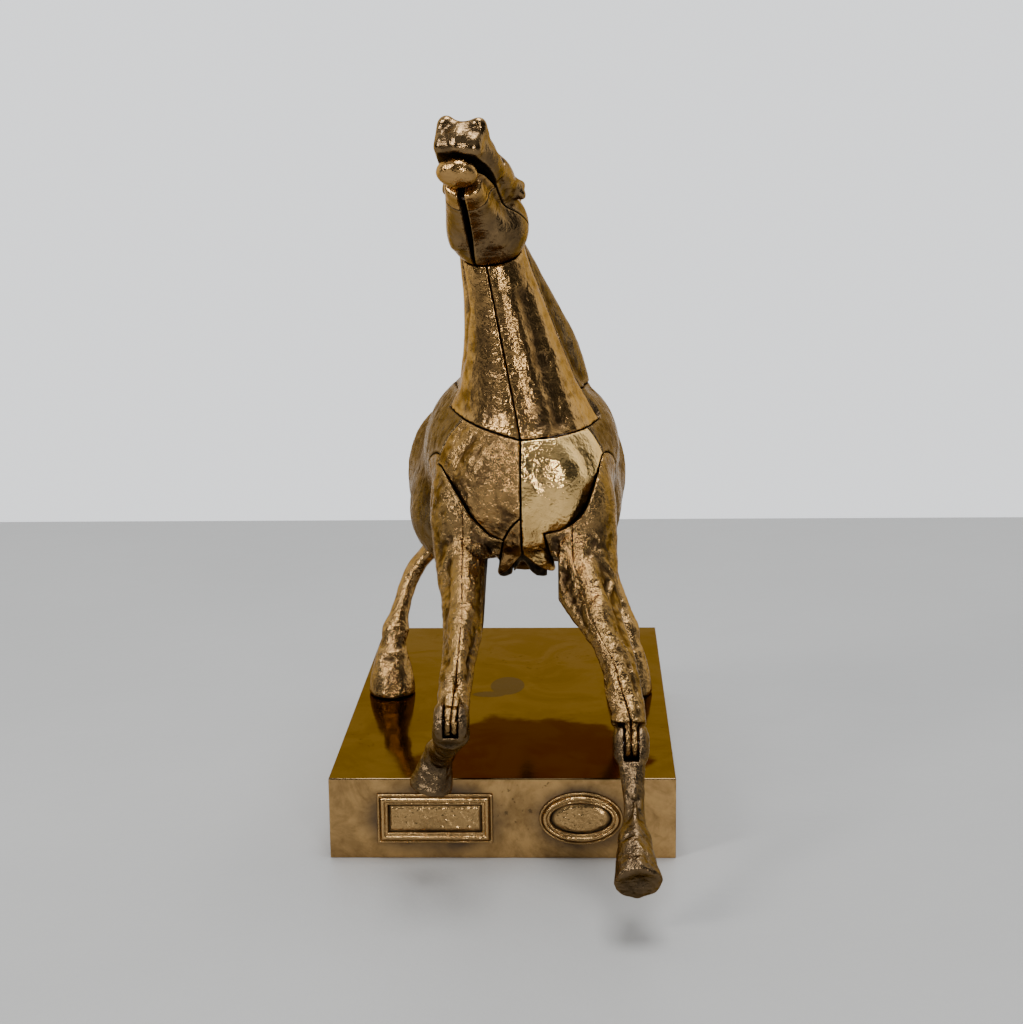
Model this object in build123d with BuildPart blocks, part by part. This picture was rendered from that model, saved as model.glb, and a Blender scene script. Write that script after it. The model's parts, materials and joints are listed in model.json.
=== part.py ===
"""Take-apart bronze horse on a plinth, built from castings that fit together along seams.

Frame: origin at the centre of the plinth's underside, +Z up, the horse faces -Y, its left side is +X.
"""

import os
from math import cos, radians, sin

from build123d import *

os.makedirs("parts", exist_ok=True)

# ---------------------------------------------- driving dimensions, in millimetres
BASE_WIDTH = 200.0
BASE_DEPTH = 340.0
BASE_HEIGHT = 48.0
BASE_WALL = 7.0
BASE_EDGE = 0.8
BOTTOM_PLATE = 4.0
PLATE_PLAY = 0.3

WALL = 7.0  # thickness of the hollow castings
SEAM = 0.6  # open seam between two castings
REACH = 400.0  # longer than any cut has to be

CHEST_X = 12.0  # centre seam of the chest
BODY_X = 6.0  # centre seam of the barrel
CHEST_BACK_Y = -117.0  # back of the chest plates
NECK_BACK_Y = -92.0  # back of the two front neck castings
CREST_Z = 262.0  # foot of the crest casting

SHOULDER_Y = -112.0
SHOULDER_Z = 190.0
SHOULDER_R = 37.0
POCKET_HALF = 14.5  # shoulder pocket's inner face, from the chest's centre seam
AXLE_R = 4.0
AXLE_PLAY = 0.15
FORELEG_TRAVEL = 45.0

HEAD_PIVOT = Vector(-6, -116, 359)
HEAD_BALL_R = 23.5
POST_R = 5.0
POST_PIN_R = 4.0
PIN_PLAY = 0.05

TONGUE_HALF = 3.8  # half the width of the knee's two-ply tongue
SLOT_HALF = 4.2
TONGUE_R = 8.6
SLOT_R = 9.4
FORK_R = 11.0
FORK_HALF = 9.4
FORK_ROUND = 2.5
KNEE_PIN_R = 2.0
PLY_GAP = 0.2
KNEE_CLEAR = 1.2

STUD_R = 3.0
NUT_FLATS = 10.0


# ---------------------------------------------- shapes that several castings are cut from
def limb(*stations):
    """A rounded form through ellipses. A station is (plane of the ellipse, its two half sizes)."""
    with BuildPart() as form:
        for plane, half_width, half_depth in stations:
            with BuildSketch(plane):
                Ellipse(half_width, half_depth)
        loft()
    return form.part


def upright_limb(rings, grow=0.0):
    """A form through level sections, each (z, centre x, centre y, half width, half depth)."""
    planes = (Plane.XY.offset(z).shift_origin((x, y, z)) for z, x, y, w, d in rings)
    return limb(*((plane, ring[3] + grow, ring[4] + grow) for plane, ring in zip(planes, rings)))


def forward_limb(rings, grow=0.0):
    """A form through upright sections across Y, each (y, centre x, centre z, half width, half height)."""
    planes = (Plane.XZ.offset(-y).shift_origin((x, y, z)) for y, x, z, w, h in rings)
    return limb(*((plane, ring[3] + grow, ring[4] + grow) for plane, ring in zip(planes, rings)))


def bar(x_from, x_to, y, z, radius):
    """A round bar along X."""
    with BuildPart() as form:
        with BuildSketch(Plane.YZ.offset(x_from)):
            with Locations((y, z)):
                Circle(radius)
        extrude(amount=x_to - x_from)
    return form.part


def rod_along_y(x, z, y_from, y_to, radius):
    """A round rod along Y."""
    with BuildPart() as form:
        with BuildSketch(Plane.XZ.offset(-y_to)):
            with Locations((x, z)):
                Circle(radius)
        extrude(amount=y_to - y_from)
    return form.part


def block(x, y, z):
    """A block between two values on each axis."""
    with BuildPart() as form:
        with BuildSketch(Plane.XY.offset(z[0])):
            with Locations(((x[0] + x[1]) / 2, (y[0] + y[1]) / 2)):
                Rectangle(x[1] - x[0], y[1] - y[0])
        extrude(amount=z[1] - z[0])
    return form.part


def front_cut(outline, y_from, y_to, grow):
    """A cutter with a front-view outline, from y_from to y_to, grown or shrunk all round."""
    with BuildPart() as form:
        with BuildSketch(Plane.XZ.offset(-y_to)):
            with BuildLine():
                outline()
            make_face()
            offset(amount=grow, kind=Kind.INTERSECTION)
        extrude(amount=y_to - y_from)
    return form.part


# Trunk sections from the chest to the croup: y, centre x, centre z, half width, half height.
TRUNK = (
    (-149.0, 12.0, 209.0, 12.0, 12.0),
    (-144.0, 12.0, 209.0, 27.0, 26.0),
    (-132.0, 12.0, 211.0, 40.0, 38.0),
    (-108.0, 11.0, 215.0, 49.0, 49.0),
    (-65.0, 9.0, 219.0, 57.0, 59.0),
    (-20.0, 7.0, 206.0, 61.0, 61.0),
    (30.0, 5.5, 197.0, 62.0, 60.0),
    (72.0, 4.5, 202.0, 60.5, 57.0),
    (106.0, 4.0, 206.0, 48.0, 46.0),
    (126.0, 4.0, 208.0, 27.0, 27.0),
    (133.0, 4.0, 208.0, 11.0, 11.0),
)

# Neck sections from the chest to the head: z, centre x, centre y, half width, half depth.
NECK = (
    (226.0, 12.5, -88.0, 40.0, 52.0),
    (250.0, 12.5, -90.0, 38.5, 48.0),
    (270.0, 9.5, -92.0, 34.0, 43.0),
    (292.0, 6.5, -95.0, 28.5, 37.0),
    (316.0, 2.0, -98.0, 23.5, 31.0),
    (338.0, -3.0, -100.0, 20.0, 27.0),
    (352.0, -5.5, -101.0, 18.5, 25.5),
)


def trunk_form(inset):
    """The chest, barrel and croup, or their hollow when inset is the wall."""
    rings = [r for r in TRUNK if min(r[3], r[4]) > inset + 5]
    return forward_limb(rings, -inset)


def neck_form(inset):
    """The neck, or its hollow when inset is the wall."""
    return upright_limb(NECK, -inset)


TRUNK_SKIN = trunk_form(0)
TRUNK_HOLLOW = trunk_form(WALL)
NECK_SKIN = neck_form(0)
NECK_HOLLOW = neck_form(WALL)


# ---------------------------------------------- seams in the front view, as x, z outlines
def run_of(*points, steps=8):
    """Points along a smooth line through the given ones."""
    line = Spline(*points, mode=Mode.PRIVATE)
    return [line @ (i / steps) for i in range(steps + 1)]


def collar_seam(left, right):
    """The curved seam between neck and chest, from one side to the other."""
    arc = {
        "far_right": (-60, 266), "right": (-28, 251), "centre": (CHEST_X, 240), "left": (54, 244),
        "far_left": (90, 257),
    }
    names = list(arc)
    return run_of(*(arc[n] for n in names[names.index(left) : names.index(right) + 1]))


def neck_left_outline():
    Polyline(*collar_seam("centre", "far_left"), (90, 400), (-18.6, 400), close=True)


def neck_right_outline():
    Polyline(*collar_seam("far_right", "centre"), (-18.6, 400), (-60, 400), close=True)


def chest_left_outline():
    side = run_of((58.5, 227), (53, 210), (46.5, 196.5), (37, 189), (25, 186))
    collar = collar_seam("centre", "far_left")
    Polyline(*collar, (90, 228), *side, (30, 156), (28, 140), (CHEST_X, 140), close=True)


def chest_right_outline():
    wedge = run_of((CHEST_X, 196), (6.5, 190.5), (1.5, 182), steps=4)
    side = run_of((-6, 185), (-17, 197), (-23.5, 207.5), (-34.5, 222))
    Polyline(*collar_seam("far_right", "centre"), *wedge, *side, (-60, 223), close=True)


def sternum_outline():
    wedge = run_of((CHEST_X, 196), (6.5, 190.5), (1.5, 182), steps=4)
    Polyline(*wedge, (-1, 155), (0, 140), (CHEST_X, 140), close=True)


def shell_within(region, skins, hollows):
    """The hollow castings' wall inside a region, joined from one or more skins."""
    walls = []
    for skin in skins:
        with BuildPart() as wall:
            add(skin)
            add(region, mode=Mode.INTERSECT)
            for hollow in hollows:
                add(hollow, mode=Mode.SUBTRACT)
        walls.append(wall.part)
    with BuildPart() as joined:
        for wall in walls:
            add(wall)
    return joined.part


def front_piece(outline, skins, hollows, y_back):
    """A front casting: the hollow skin inside a front-view outline, back to y_back."""
    return shell_within(front_cut(outline, -REACH, y_back - SEAM / 2, -SEAM / 2), skins, hollows)


def finish(shape, name, **options):
    """Keeps the solids of a finished piece, labels it and writes its STEP file."""
    solids = [s for s in shape.solids() if s.volume > options.get("smallest", 5.0)]
    piece = Part(children=solids) if len(solids) > 1 else solids[0]
    piece.label = name
    export_step(piece, f"parts/{name}.step")
    return piece


# ---------------------------------------------- plinth
STUD_SPOTS = ((-79.0, 4.0), (77.0, 4.0))
SCREW_SPOTS = [(x, y) for x in (-88.0, 88.0) for y in (-158.0, 0.0, 158.0)]
SCREW_R = 1.6
SCREW_HEAD_R = 3.2

with BuildPart() as plinth:
    with BuildSketch():
        Rectangle(BASE_WIDTH, BASE_DEPTH)
    extrude(amount=BASE_HEIGHT)
    fillet(plinth.edges().filter_by(Axis.Z), BASE_EDGE)
    fillet(plinth.faces().sort_by(Axis.Z)[-1].edges(), BASE_EDGE)
    with BuildSketch():
        Rectangle(BASE_WIDTH - 2 * BASE_WALL, BASE_DEPTH - 2 * BASE_WALL)
    extrude(amount=BASE_HEIGHT - BASE_WALL, mode=Mode.SUBTRACT)
    with BuildSketch(Plane.XY.offset(BOTTOM_PLATE)):
        with Locations(*SCREW_SPOTS):
            Rectangle(11, 11)
    extrude(amount=14)
    with BuildSketch(Plane.XY.offset(BASE_HEIGHT)):
        with Locations(*STUD_SPOTS):
            Circle(STUD_R + 0.2)
    extrude(amount=-BASE_WALL, mode=Mode.SUBTRACT)
    with BuildSketch(Plane.XY.offset(BOTTOM_PLATE)):
        with Locations(*SCREW_SPOTS):
            Circle(SCREW_R)
    extrude(amount=10, mode=Mode.SUBTRACT)
finish(plinth.part, "plinth_shell")

with BuildPart() as bottom_plate:
    with BuildSketch():
        Rectangle(BASE_WIDTH - 2 * (BASE_WALL + PLATE_PLAY), BASE_DEPTH - 2 * (BASE_WALL + PLATE_PLAY))
    extrude(amount=BOTTOM_PLATE)
    with Locations(*((x, y, 0) for x, y in SCREW_SPOTS)):
        CounterSinkHole(SCREW_R + 0.2, SCREW_HEAD_R + 0.2, BOTTOM_PLATE * 3, counter_sink_angle=90)
    with Locations(*((x, y, 0) for x, y in SCREW_SPOTS)):
        Cone(
            SCREW_HEAD_R + 0.2, SCREW_R + 0.2, SCREW_HEAD_R - SCREW_R,
            align=(Align.CENTER, Align.CENTER, Align.MIN), mode=Mode.SUBTRACT,
        )
finish(bottom_plate.part, "plinth_bottom_plate")

with BuildPart() as plinth_screws:
    for x, y in SCREW_SPOTS:
        with BuildSketch(Plane.XZ.offset(-y)):
            with BuildLine():
                Polyline(
                    (x, 0.1),
                    (x + SCREW_HEAD_R, 0.1),
                    (x + SCREW_R, 0.1 + SCREW_HEAD_R - SCREW_R),
                    (x + SCREW_R, 12),
                    (x, 12),
                    close=True,
                )
            make_face()
        revolve(axis=Axis((x, y, 0), (0, 0, 1)))
finish(plinth_screws.part, "plinth_screws")

# ---------------------------------------------- the two framed plaques on the plinth's front
FRONT_Y = -BASE_DEPTH / 2
FRONT_PLANE = Plane.XZ.offset(-FRONT_Y)
RECT_AT = (-38.7, 24.1)
RECT_SIZE = (66.8, 29.6)
OVAL_AT = (45.4, 24.1)
OVAL_SIZE = (24.2, 15.8)
FRAME_STEPS = ((0.0, 3.4), (2.4, 2.2), (4.4, 3.0))  # inset and height of each moulding step
FRAME_INNER = 6.6
PLAQUE_THICK = 1.2


def framed(draw, name):
    """A stepped frame: a low outer flange, a proud bead and a falling inner step around an opening."""
    with BuildPart() as frame:
        for inset, height in FRAME_STEPS:
            with BuildSketch(FRONT_PLANE):
                draw(inset)
            extrude(amount=height if inset else 1.8)
        with BuildSketch(FRONT_PLANE):
            draw(1.2)
            draw(2.6, mode=Mode.SUBTRACT)
        extrude(amount=3.4)
        with BuildSketch(FRONT_PLANE):
            draw(FRAME_INNER)
        extrude(amount=6, mode=Mode.SUBTRACT)
    return finish(frame.part, name)


def rect_outline(inset, mode=Mode.ADD):
    with Locations(RECT_AT):
        Rectangle(RECT_SIZE[0] - 2 * inset, RECT_SIZE[1] - 2 * inset, mode=mode)


def oval_outline(inset, mode=Mode.ADD):
    with Locations(OVAL_AT):
        Ellipse(OVAL_SIZE[0] - inset, OVAL_SIZE[1] - inset, mode=mode)


framed(rect_outline, "plaque_frame_rectangular")
framed(oval_outline, "plaque_frame_oval")

with BuildPart() as rect_plate:
    with BuildSketch(FRONT_PLANE):
        with Locations(RECT_AT):
            Rectangle(RECT_SIZE[0] - 2 * FRAME_INNER - 0.2, RECT_SIZE[1] - 2 * FRAME_INNER - 0.2)
    extrude(amount=PLAQUE_THICK)
finish(rect_plate.part, "plaque_rectangular")

with BuildPart() as oval_plate:
    with BuildSketch(FRONT_PLANE):
        with Locations(OVAL_AT):
            Ellipse(OVAL_SIZE[0] - FRAME_INNER - 0.1, OVAL_SIZE[1] - FRAME_INNER - 0.1)
    extrude(amount=PLAQUE_THICK)
finish(oval_plate.part, "plaque_oval")


# ---------------------------------------------- hind legs, each on a stud through the plinth
def hind_leg_rings(side):
    """Level sections from inside the thigh down to the fetlock, for side +1 (left) or -1 (right)."""
    hoof_x = 77.0 if side > 0 else -79.0
    return (
        (182.0, BODY_X + side * 45, 8.0, 13.0, 15.0),
        (162.0, BODY_X + side * 49, 22.0, 12.5, 16.0),
        (144.0, BODY_X + side * 54, 38.0, 9.5, 15.0),
        (124.0, hoof_x - side * 14, 37.0, 7.0, 10.5),
        (104.0, hoof_x - side * 6, 25.0, 6.4, 8.5),
        (89.0, hoof_x - side * 2, 16.0, 8.4, 9.5),
        (74.0, hoof_x, 8.0, 8.0, 9.0),
    )


def hoof(x, y, top, bottom, half_width, half_length):
    """A hoof standing on its flat sole, wider at the sole than at the coronet."""
    with BuildPart() as form:
        for z, share, shift in ((bottom, 1.0, 0.0), ((top + bottom) / 2, 0.88, 1.5), (top, 0.66, 4.0)):
            with BuildSketch(Plane.XY.offset(z)):
                with Locations((x, y + shift)):
                    Ellipse(half_width * share, half_length * share)
        loft()
    return form.part


HIND_HOOF_TOP = BASE_HEIGHT + 27.0
for side, name in ((1, "left"), (-1, "right")):
    shank = upright_limb(hind_leg_rings(side))
    stud_x, stud_y = STUD_SPOTS[0 if side < 0 else 1]
    foot = hoof(stud_x, stud_y, HIND_HOOF_TOP + 6, BASE_HEIGHT, 15.6, 18.0)
    with BuildPart() as hind_leg:
        add(shank)
        add(foot)
        with BuildSketch(Plane.XY.offset(BASE_HEIGHT)):
            with Locations((stud_x, stud_y)):
                Circle(STUD_R)
        extrude(amount=14, mode=Mode.SUBTRACT)
    finish(hind_leg.part, f"hind_leg_{name}")

with BuildPart() as studs:
    for x, y in STUD_SPOTS:
        with BuildSketch(Plane.XY.offset(BASE_HEIGHT - BASE_WALL - 9)):
            with Locations((x, y)):
                Circle(STUD_R)
        extrude(amount=9 + BASE_WALL + 13.8)
finish(studs.part, "hind_leg_studs")

with BuildPart() as nuts:
    for x, y in STUD_SPOTS:
        with BuildSketch(Plane.XY.offset(BASE_HEIGHT - BASE_WALL - 1.2)):
            with Locations((x, y)):
                Circle(7.5)
                Circle(STUD_R, mode=Mode.SUBTRACT)
        extrude(amount=1.2)
        with BuildSketch(Plane.XY.offset(BASE_HEIGHT - BASE_WALL - 6.2)):
            with Locations((x, y)):
                RegularPolygon(NUT_FLATS / 2, 6, major_radius=False)
                Circle(STUD_R, mode=Mode.SUBTRACT)
        extrude(amount=5)
finish(nuts.part, "hind_leg_nuts")

# ---------------------------------------------- barrel and croup, as two hollow halves
TIE_ROD_R = 3.0
TIE_RODS = ((40.0, 215.0, -49.5, 60.5), (-85.0, 238.0, -35.5, 55.0))  # y, z, from x, to x
DOWEL_R = 1.5
DOWEL_PLAY = 0.08
CHEST_DOWELS = ((49.4, 231.5), (24.0, 173.5), (-26.6, 231.5), (4.0, 172.5))  # x, z
NECK_DOWELS = ((-19.5, 300.0), (28.0, 300.0))
TAIL_X, TAIL_Z, TAIL_STUB_R = 5.0, 222.0, 3.0
CORE_X = (CHEST_X - POCKET_HALF + SEAM, CHEST_X + POCKET_HALF - SEAM)


def shoulder_pocket(side, clearance):
    """The round space that a foreleg's shoulder fills, open to the outside."""
    inner = CHEST_X + side * (POCKET_HALF - clearance)
    outer = CHEST_X + side * 90
    return bar(min(inner, outer), max(inner, outer), SHOULDER_Y, SHOULDER_Z, SHOULDER_R + clearance)


def thigh(side):
    """The thigh and stifle, standing out from the barrel."""
    centre = Vector(BODY_X + side * 37, 32, 193)
    form = scale(Sphere(1, mode=Mode.PRIVATE), by=(33.0, 55.0, 48.0), mode=Mode.PRIVATE)
    return form.moved(Location(centre))


def body_side(side):
    """Everything of the trunk on one side of the centre seam and behind the chest plates."""
    x_near, x_far = BODY_X + side * SEAM / 2, BODY_X + side * REACH
    half = block((min(x_near, x_far), max(x_near, x_far)), (CHEST_BACK_Y + SEAM / 2, REACH), (0, REACH))
    neck_outline = neck_left_outline if side > 0 else neck_right_outline
    far_outline = neck_right_outline if side > 0 else neck_left_outline
    crest_gap = block((-REACH, REACH), (-REACH, 10), (CREST_Z, REACH))
    with BuildPart() as body:
        add(TRUNK_SKIN)
        add(thigh(side))
        add(TRUNK_HOLLOW, mode=Mode.SUBTRACT)
        add(half, mode=Mode.INTERSECT)
        add(shoulder_pocket(side, SEAM), mode=Mode.SUBTRACT)
        add(upright_limb(hind_leg_rings(side), SEAM), mode=Mode.SUBTRACT)
        add(front_cut(neck_outline, -REACH, NECK_BACK_Y + SEAM / 2, SEAM / 2), mode=Mode.SUBTRACT)
        add(front_cut(far_outline, -REACH, NECK_BACK_Y + SEAM / 2, SEAM / 2), mode=Mode.SUBTRACT)
        add(crest_gap, mode=Mode.SUBTRACT)
        for y, z, x_from, x_to in TIE_RODS:
            add(bar(x_from, x_to, y, z, TIE_ROD_R), mode=Mode.SUBTRACT)
        for x, z in CHEST_DOWELS:
            add(rod_along_y(x, z, CHEST_BACK_Y - 5, CHEST_BACK_Y + 6, DOWEL_R), mode=Mode.SUBTRACT)
        add(rod_along_y(TAIL_X, TAIL_Z, 100, 150, TAIL_STUB_R + 0.1), mode=Mode.SUBTRACT)
    return body.part


finish(body_side(1), "body_left")
finish(body_side(-1), "body_right")

# ---------------------------------------------- chest plates, sternum wedge and front neck castings
def drilled(shape, holes, y_mid, name):
    """Bores the running dowel holes into a front casting and writes it."""
    with BuildPart() as piece:
        add(shape)
        for x, z in holes:
            add(rod_along_y(x, z, y_mid - 6, y_mid + 6, DOWEL_R + DOWEL_PLAY), mode=Mode.SUBTRACT)
    finish(piece.part, name)


SKINS, HOLLOWS = (TRUNK_SKIN,), (TRUNK_HOLLOW,)
chest_plate_left = front_piece(chest_left_outline, SKINS, HOLLOWS, CHEST_BACK_Y)
drilled(chest_plate_left, CHEST_DOWELS[:2], CHEST_BACK_Y, "chest_plate_left")
chest_plate_right = front_piece(chest_right_outline, SKINS, HOLLOWS, CHEST_BACK_Y)
drilled(chest_plate_right, CHEST_DOWELS[2:3], CHEST_BACK_Y, "chest_plate_right")
sternum_wedge_right = front_piece(sternum_outline, SKINS, HOLLOWS, CHEST_BACK_Y)
drilled(sternum_wedge_right, CHEST_DOWELS[3:], CHEST_BACK_Y, "sternum_wedge_right")

HEAD_AXIS = (HEAD_PIVOT - Vector(CHEST_X, -95, 225)).normalized()
HEAD_BALL = Sphere(HEAD_BALL_R, mode=Mode.PRIVATE).moved(Location(HEAD_PIVOT))
NECK_TOP_CUT = Sphere(HEAD_BALL_R + SEAM, mode=Mode.PRIVATE).moved(Location(HEAD_PIVOT))


def along_head_axis(radius, low, high):
    """A round rod on the axis that the head turns about, between two distances from the pivot."""
    with BuildPart() as form:
        with BuildSketch(Plane(origin=HEAD_PIVOT + HEAD_AXIS * low, z_dir=HEAD_AXIS)):
            Circle(radius)
        extrude(amount=high - low)
    return form.part


NECK_TOP = along_head_axis(80, -10.0, 60.0)
for outline, hole, name in (
    (neck_left_outline, NECK_DOWELS[1], "neck_front_left"),
    (neck_right_outline, NECK_DOWELS[0], "neck_front_right"),
):
    shell = front_piece(outline, (TRUNK_SKIN, NECK_SKIN), (TRUNK_HOLLOW, NECK_HOLLOW), NECK_BACK_Y)
    with BuildPart() as neck_front:
        add(shell)
        add(NECK_TOP_CUT, mode=Mode.SUBTRACT)
        add(NECK_TOP, mode=Mode.SUBTRACT)
    drilled(neck_front.part, [hole], NECK_BACK_Y, name)

CREST_ROOM = block((-REACH, REACH), (NECK_BACK_Y + SEAM / 2, 9.4), (CREST_Z + SEAM, REACH))
CREST_SHELL = shell_within(CREST_ROOM, (NECK_SKIN, TRUNK_SKIN), (NECK_HOLLOW, TRUNK_HOLLOW))
with BuildPart() as crest:
    add(CREST_SHELL)
    add(NECK_TOP_CUT, mode=Mode.SUBTRACT)
    add(NECK_TOP, mode=Mode.SUBTRACT)
    for x, z in NECK_DOWELS:
        add(rod_along_y(x, z, NECK_BACK_Y - 6, NECK_BACK_Y + 6, DOWEL_R), mode=Mode.SUBTRACT)
finish(crest.part, "neck_crest")

# ---------------------------------------------- the hidden core, tie rods, axle, post and dowels
POST_FOOT = -150.0
with BuildPart() as core:
    add(block(CORE_X, (-125.0, -62.0), (164.0, 246.0)))
    add(trunk_form(WALL + SEAM), mode=Mode.INTERSECT)
    add(bar(-60, 90, SHOULDER_Y, SHOULDER_Z, AXLE_R), mode=Mode.SUBTRACT)
    add(bar(TIE_RODS[1][2], TIE_RODS[1][3], TIE_RODS[1][0], TIE_RODS[1][1], TIE_ROD_R), mode=Mode.SUBTRACT)
    add(along_head_axis(POST_R, POST_FOOT, 0), mode=Mode.SUBTRACT)
finish(core.part, "core")

with BuildPart() as tie_rods:
    for y, z, x_from, x_to in TIE_RODS:
        add(bar(x_from, x_to, y, z, TIE_ROD_R))
finish(tie_rods.part, "tie_rods")

finish(bar(CHEST_X - 42, CHEST_X + 42, SHOULDER_Y, SHOULDER_Z, AXLE_R), "shoulder_axle")

with BuildPart() as post:
    add(along_head_axis(POST_R, POST_FOOT + 0.2, -HEAD_BALL_R - 1.5))
    add(along_head_axis(POST_PIN_R, -HEAD_BALL_R - 1.5, 9.0))
finish(post.part, "neck_post")

with BuildPart() as chest_dowels:
    for x, z in CHEST_DOWELS:
        add(rod_along_y(x, z, CHEST_BACK_Y - 5, CHEST_BACK_Y + 6, DOWEL_R))
finish(chest_dowels.part, "chest_dowels")

with BuildPart() as neck_dowels:
    for x, z in NECK_DOWELS:
        add(rod_along_y(x, z, NECK_BACK_Y - 5, NECK_BACK_Y + 6, DOWEL_R))
finish(neck_dowels.part, "neck_dowels")

# ---------------------------------------------- tail
with BuildPart() as tail:
    add(
        upright_limb(
            (
                (238.0, TAIL_X, 112.0, 6.0, 9.0),
                (222.0, TAIL_X, 132.0, 8.5, 9.0),
                (200.0, TAIL_X, 142.0, 9.0, 8.0),
                (172.0, TAIL_X, 144.0, 8.0, 7.0),
                (148.0, TAIL_X, 146.0, 4.0, 4.0),
            )
        )
    )
    add(trunk_form(-SEAM / 2), mode=Mode.SUBTRACT)
    add(rod_along_y(TAIL_X, TAIL_Z, 112, 134, TAIL_STUB_R))
finish(tail.part, "tail")

# ---------------------------------------------- head, in its own frame along the face
HEAD_LIE = Vector(-0.1045, -0.851, 0.515).normalized()
HEAD_SIDEWAYS = Vector(0.99, -0.12, -0.087)
HEAD_ACROSS = (HEAD_SIDEWAYS - HEAD_LIE * HEAD_SIDEWAYS.dot(HEAD_LIE)).normalized()
HEAD_UP = HEAD_LIE.cross(HEAD_ACROSS)
HEAD_ORIGIN = Vector(-8, -102, 364)
JAW_LEVEL = -8.0  # the seam between skull and jaw castings


def head_point(along, across, up):
    return HEAD_ORIGIN + HEAD_LIE * along + HEAD_ACROSS * across + HEAD_UP * up


def head_limb(rings, across=0.0):
    """A form through sections along the face, each (along, up, half width, half height)."""
    stations = []
    for s, up, half_width, half_height in rings:
        plane = Plane(origin=head_point(s, across, up), x_dir=HEAD_ACROSS, z_dir=HEAD_LIE)
        stations.append((plane, half_width, half_height))
    return limb(*stations)


def head_block(along, across, up):
    """A block in the head's own frame."""
    plane = Plane(origin=head_point(along[0], 0, 0), x_dir=HEAD_ACROSS, z_dir=HEAD_LIE)
    with BuildPart() as form:
        with BuildSketch(plane):
            with Locations(((across[0] + across[1]) / 2, (up[0] + up[1]) / 2)):
                Rectangle(across[1] - across[0], up[1] - up[0])
        extrude(amount=along[1] - along[0])
    return form.part


def head_rod(s, across, up_from, up_to, radius):
    """A rod that stands square to the seam between skull and jaws."""
    with BuildPart() as form:
        with BuildSketch(Plane(origin=head_point(s, across, up_from), z_dir=HEAD_UP)):
            Circle(radius)
        extrude(amount=up_to - up_from)
    return form.part


SKULL_RINGS = (
    (-14, 3, 11, 12),
    (2, 2, 18, 20),
    (25, 2, 21, 18),
    (48, 2, 17.5, 14),
    (68, 3, 15, 12),
    (83, 4, 16, 12.5),
    (91, 5, 12, 9),
)
JAW_RINGS = (
    (2, -14, 16, 17),
    (12, -15, 19.5, 17),
    (30, -15, 18.5, 14),
    (50, -16, 13, 10),
    (66, -18, 10, 7.5),
    (78, -19, 11, 7),
    (84, -19, 8, 4.5),
)
JAW_DOWELS = ((8.0, -11.0), (8.0, 11.0), (58.0, 0.0))  # along, across
CHIN_FROM = 52.0
MOUTH_HIGH, MOUTH_LOW = -8.0, -13.0
BELOW_COLLAR = along_head_axis(80, -60.0, -9.4)

with BuildPart() as head_form:
    add(head_limb(SKULL_RINGS))
    add(head_limb(JAW_RINGS))
    add(BELOW_COLLAR, mode=Mode.SUBTRACT)
    add(HEAD_BALL)
HEAD_FORM = head_form.part

with BuildPart() as skull:
    add(HEAD_FORM)
    for across in (-10.0, 10.0):
        add(head_limb(((-24, 15, 2.0, 1.5), (-14, 16, 4.5, 3.0), (-4, 14, 5.0, 5.0)), across))
    add(head_block((-60, 120), (-60, 60), (JAW_LEVEL + SEAM / 2, 60)), mode=Mode.INTERSECT)
    add(along_head_axis(POST_PIN_R + PIN_PLAY, -60, 10.0), mode=Mode.SUBTRACT)
    for s, across in JAW_DOWELS:
        add(head_rod(s, across, -20, -2, DOWEL_R), mode=Mode.SUBTRACT)
finish(skull.part, "skull")

for side, name in ((1, "left"), (-1, "right")):
    across = sorted((side * SEAM, side * 60))
    with BuildPart() as jowl:
        add(HEAD_FORM)
        add(head_block((-60, CHIN_FROM), across, (-60, JAW_LEVEL - SEAM / 2)), mode=Mode.INTERSECT)
        add(along_head_axis(POST_R + 1.0, -60, 20.0), mode=Mode.SUBTRACT)
        for s, dowel_across in JAW_DOWELS:
            add(head_rod(s, dowel_across, -20, -2, DOWEL_R), mode=Mode.SUBTRACT)
    finish(jowl.part, f"jaw_{name}")

with BuildPart() as chin:
    add(HEAD_FORM)
    add(head_block((CHIN_FROM + SEAM, 120), (-60, 60), (-60, MOUTH_LOW)), mode=Mode.INTERSECT)
    add(head_block((CHIN_FROM + SEAM, 62), (-5, 5), (MOUTH_LOW - 2, JAW_LEVEL - SEAM / 2)))
    for s, across in JAW_DOWELS:
        add(head_rod(s, across, -20, -2, DOWEL_R), mode=Mode.SUBTRACT)
finish(chin.part, "chin")

with BuildPart() as jaw_dowels:
    for s, across in JAW_DOWELS:
        add(head_rod(s, across, -20, -2, DOWEL_R))
finish(jaw_dowels.part, "jaw_dowels")


# ---------------------------------------------- forelegs, in two plies down to a knee tongue
def seen_from_side(angle):
    """A direction in the YZ plane, measured from +Y towards +Z."""
    return Vector(0, cos(radians(angle)), sin(radians(angle)))


def side_bar(x, y, z, angle, start, length, half_width, half_thickness):
    """A flat bar that leaves a knee pin at an angle seen from the side."""
    along = seen_from_side(angle)
    with BuildPart() as form:
        with BuildSketch(Plane(origin=Vector(x, y, z) + along * start, x_dir=(1, 0, 0), z_dir=along)):
            Rectangle(2 * half_width, 2 * half_thickness)
        extrude(amount=length)
    return form.part


def turned(shape, knee, degrees):
    """A shape turned about a knee pin, bending positive."""
    return shape.rotate(Axis((knee[0], knee[1], knee[2]), (1, 0, 0)), degrees)


LEFT_KNEE = (73.0, -218.0, 84.0)
RIGHT_KNEE = (-23.0, -245.0, 105.0)

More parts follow.
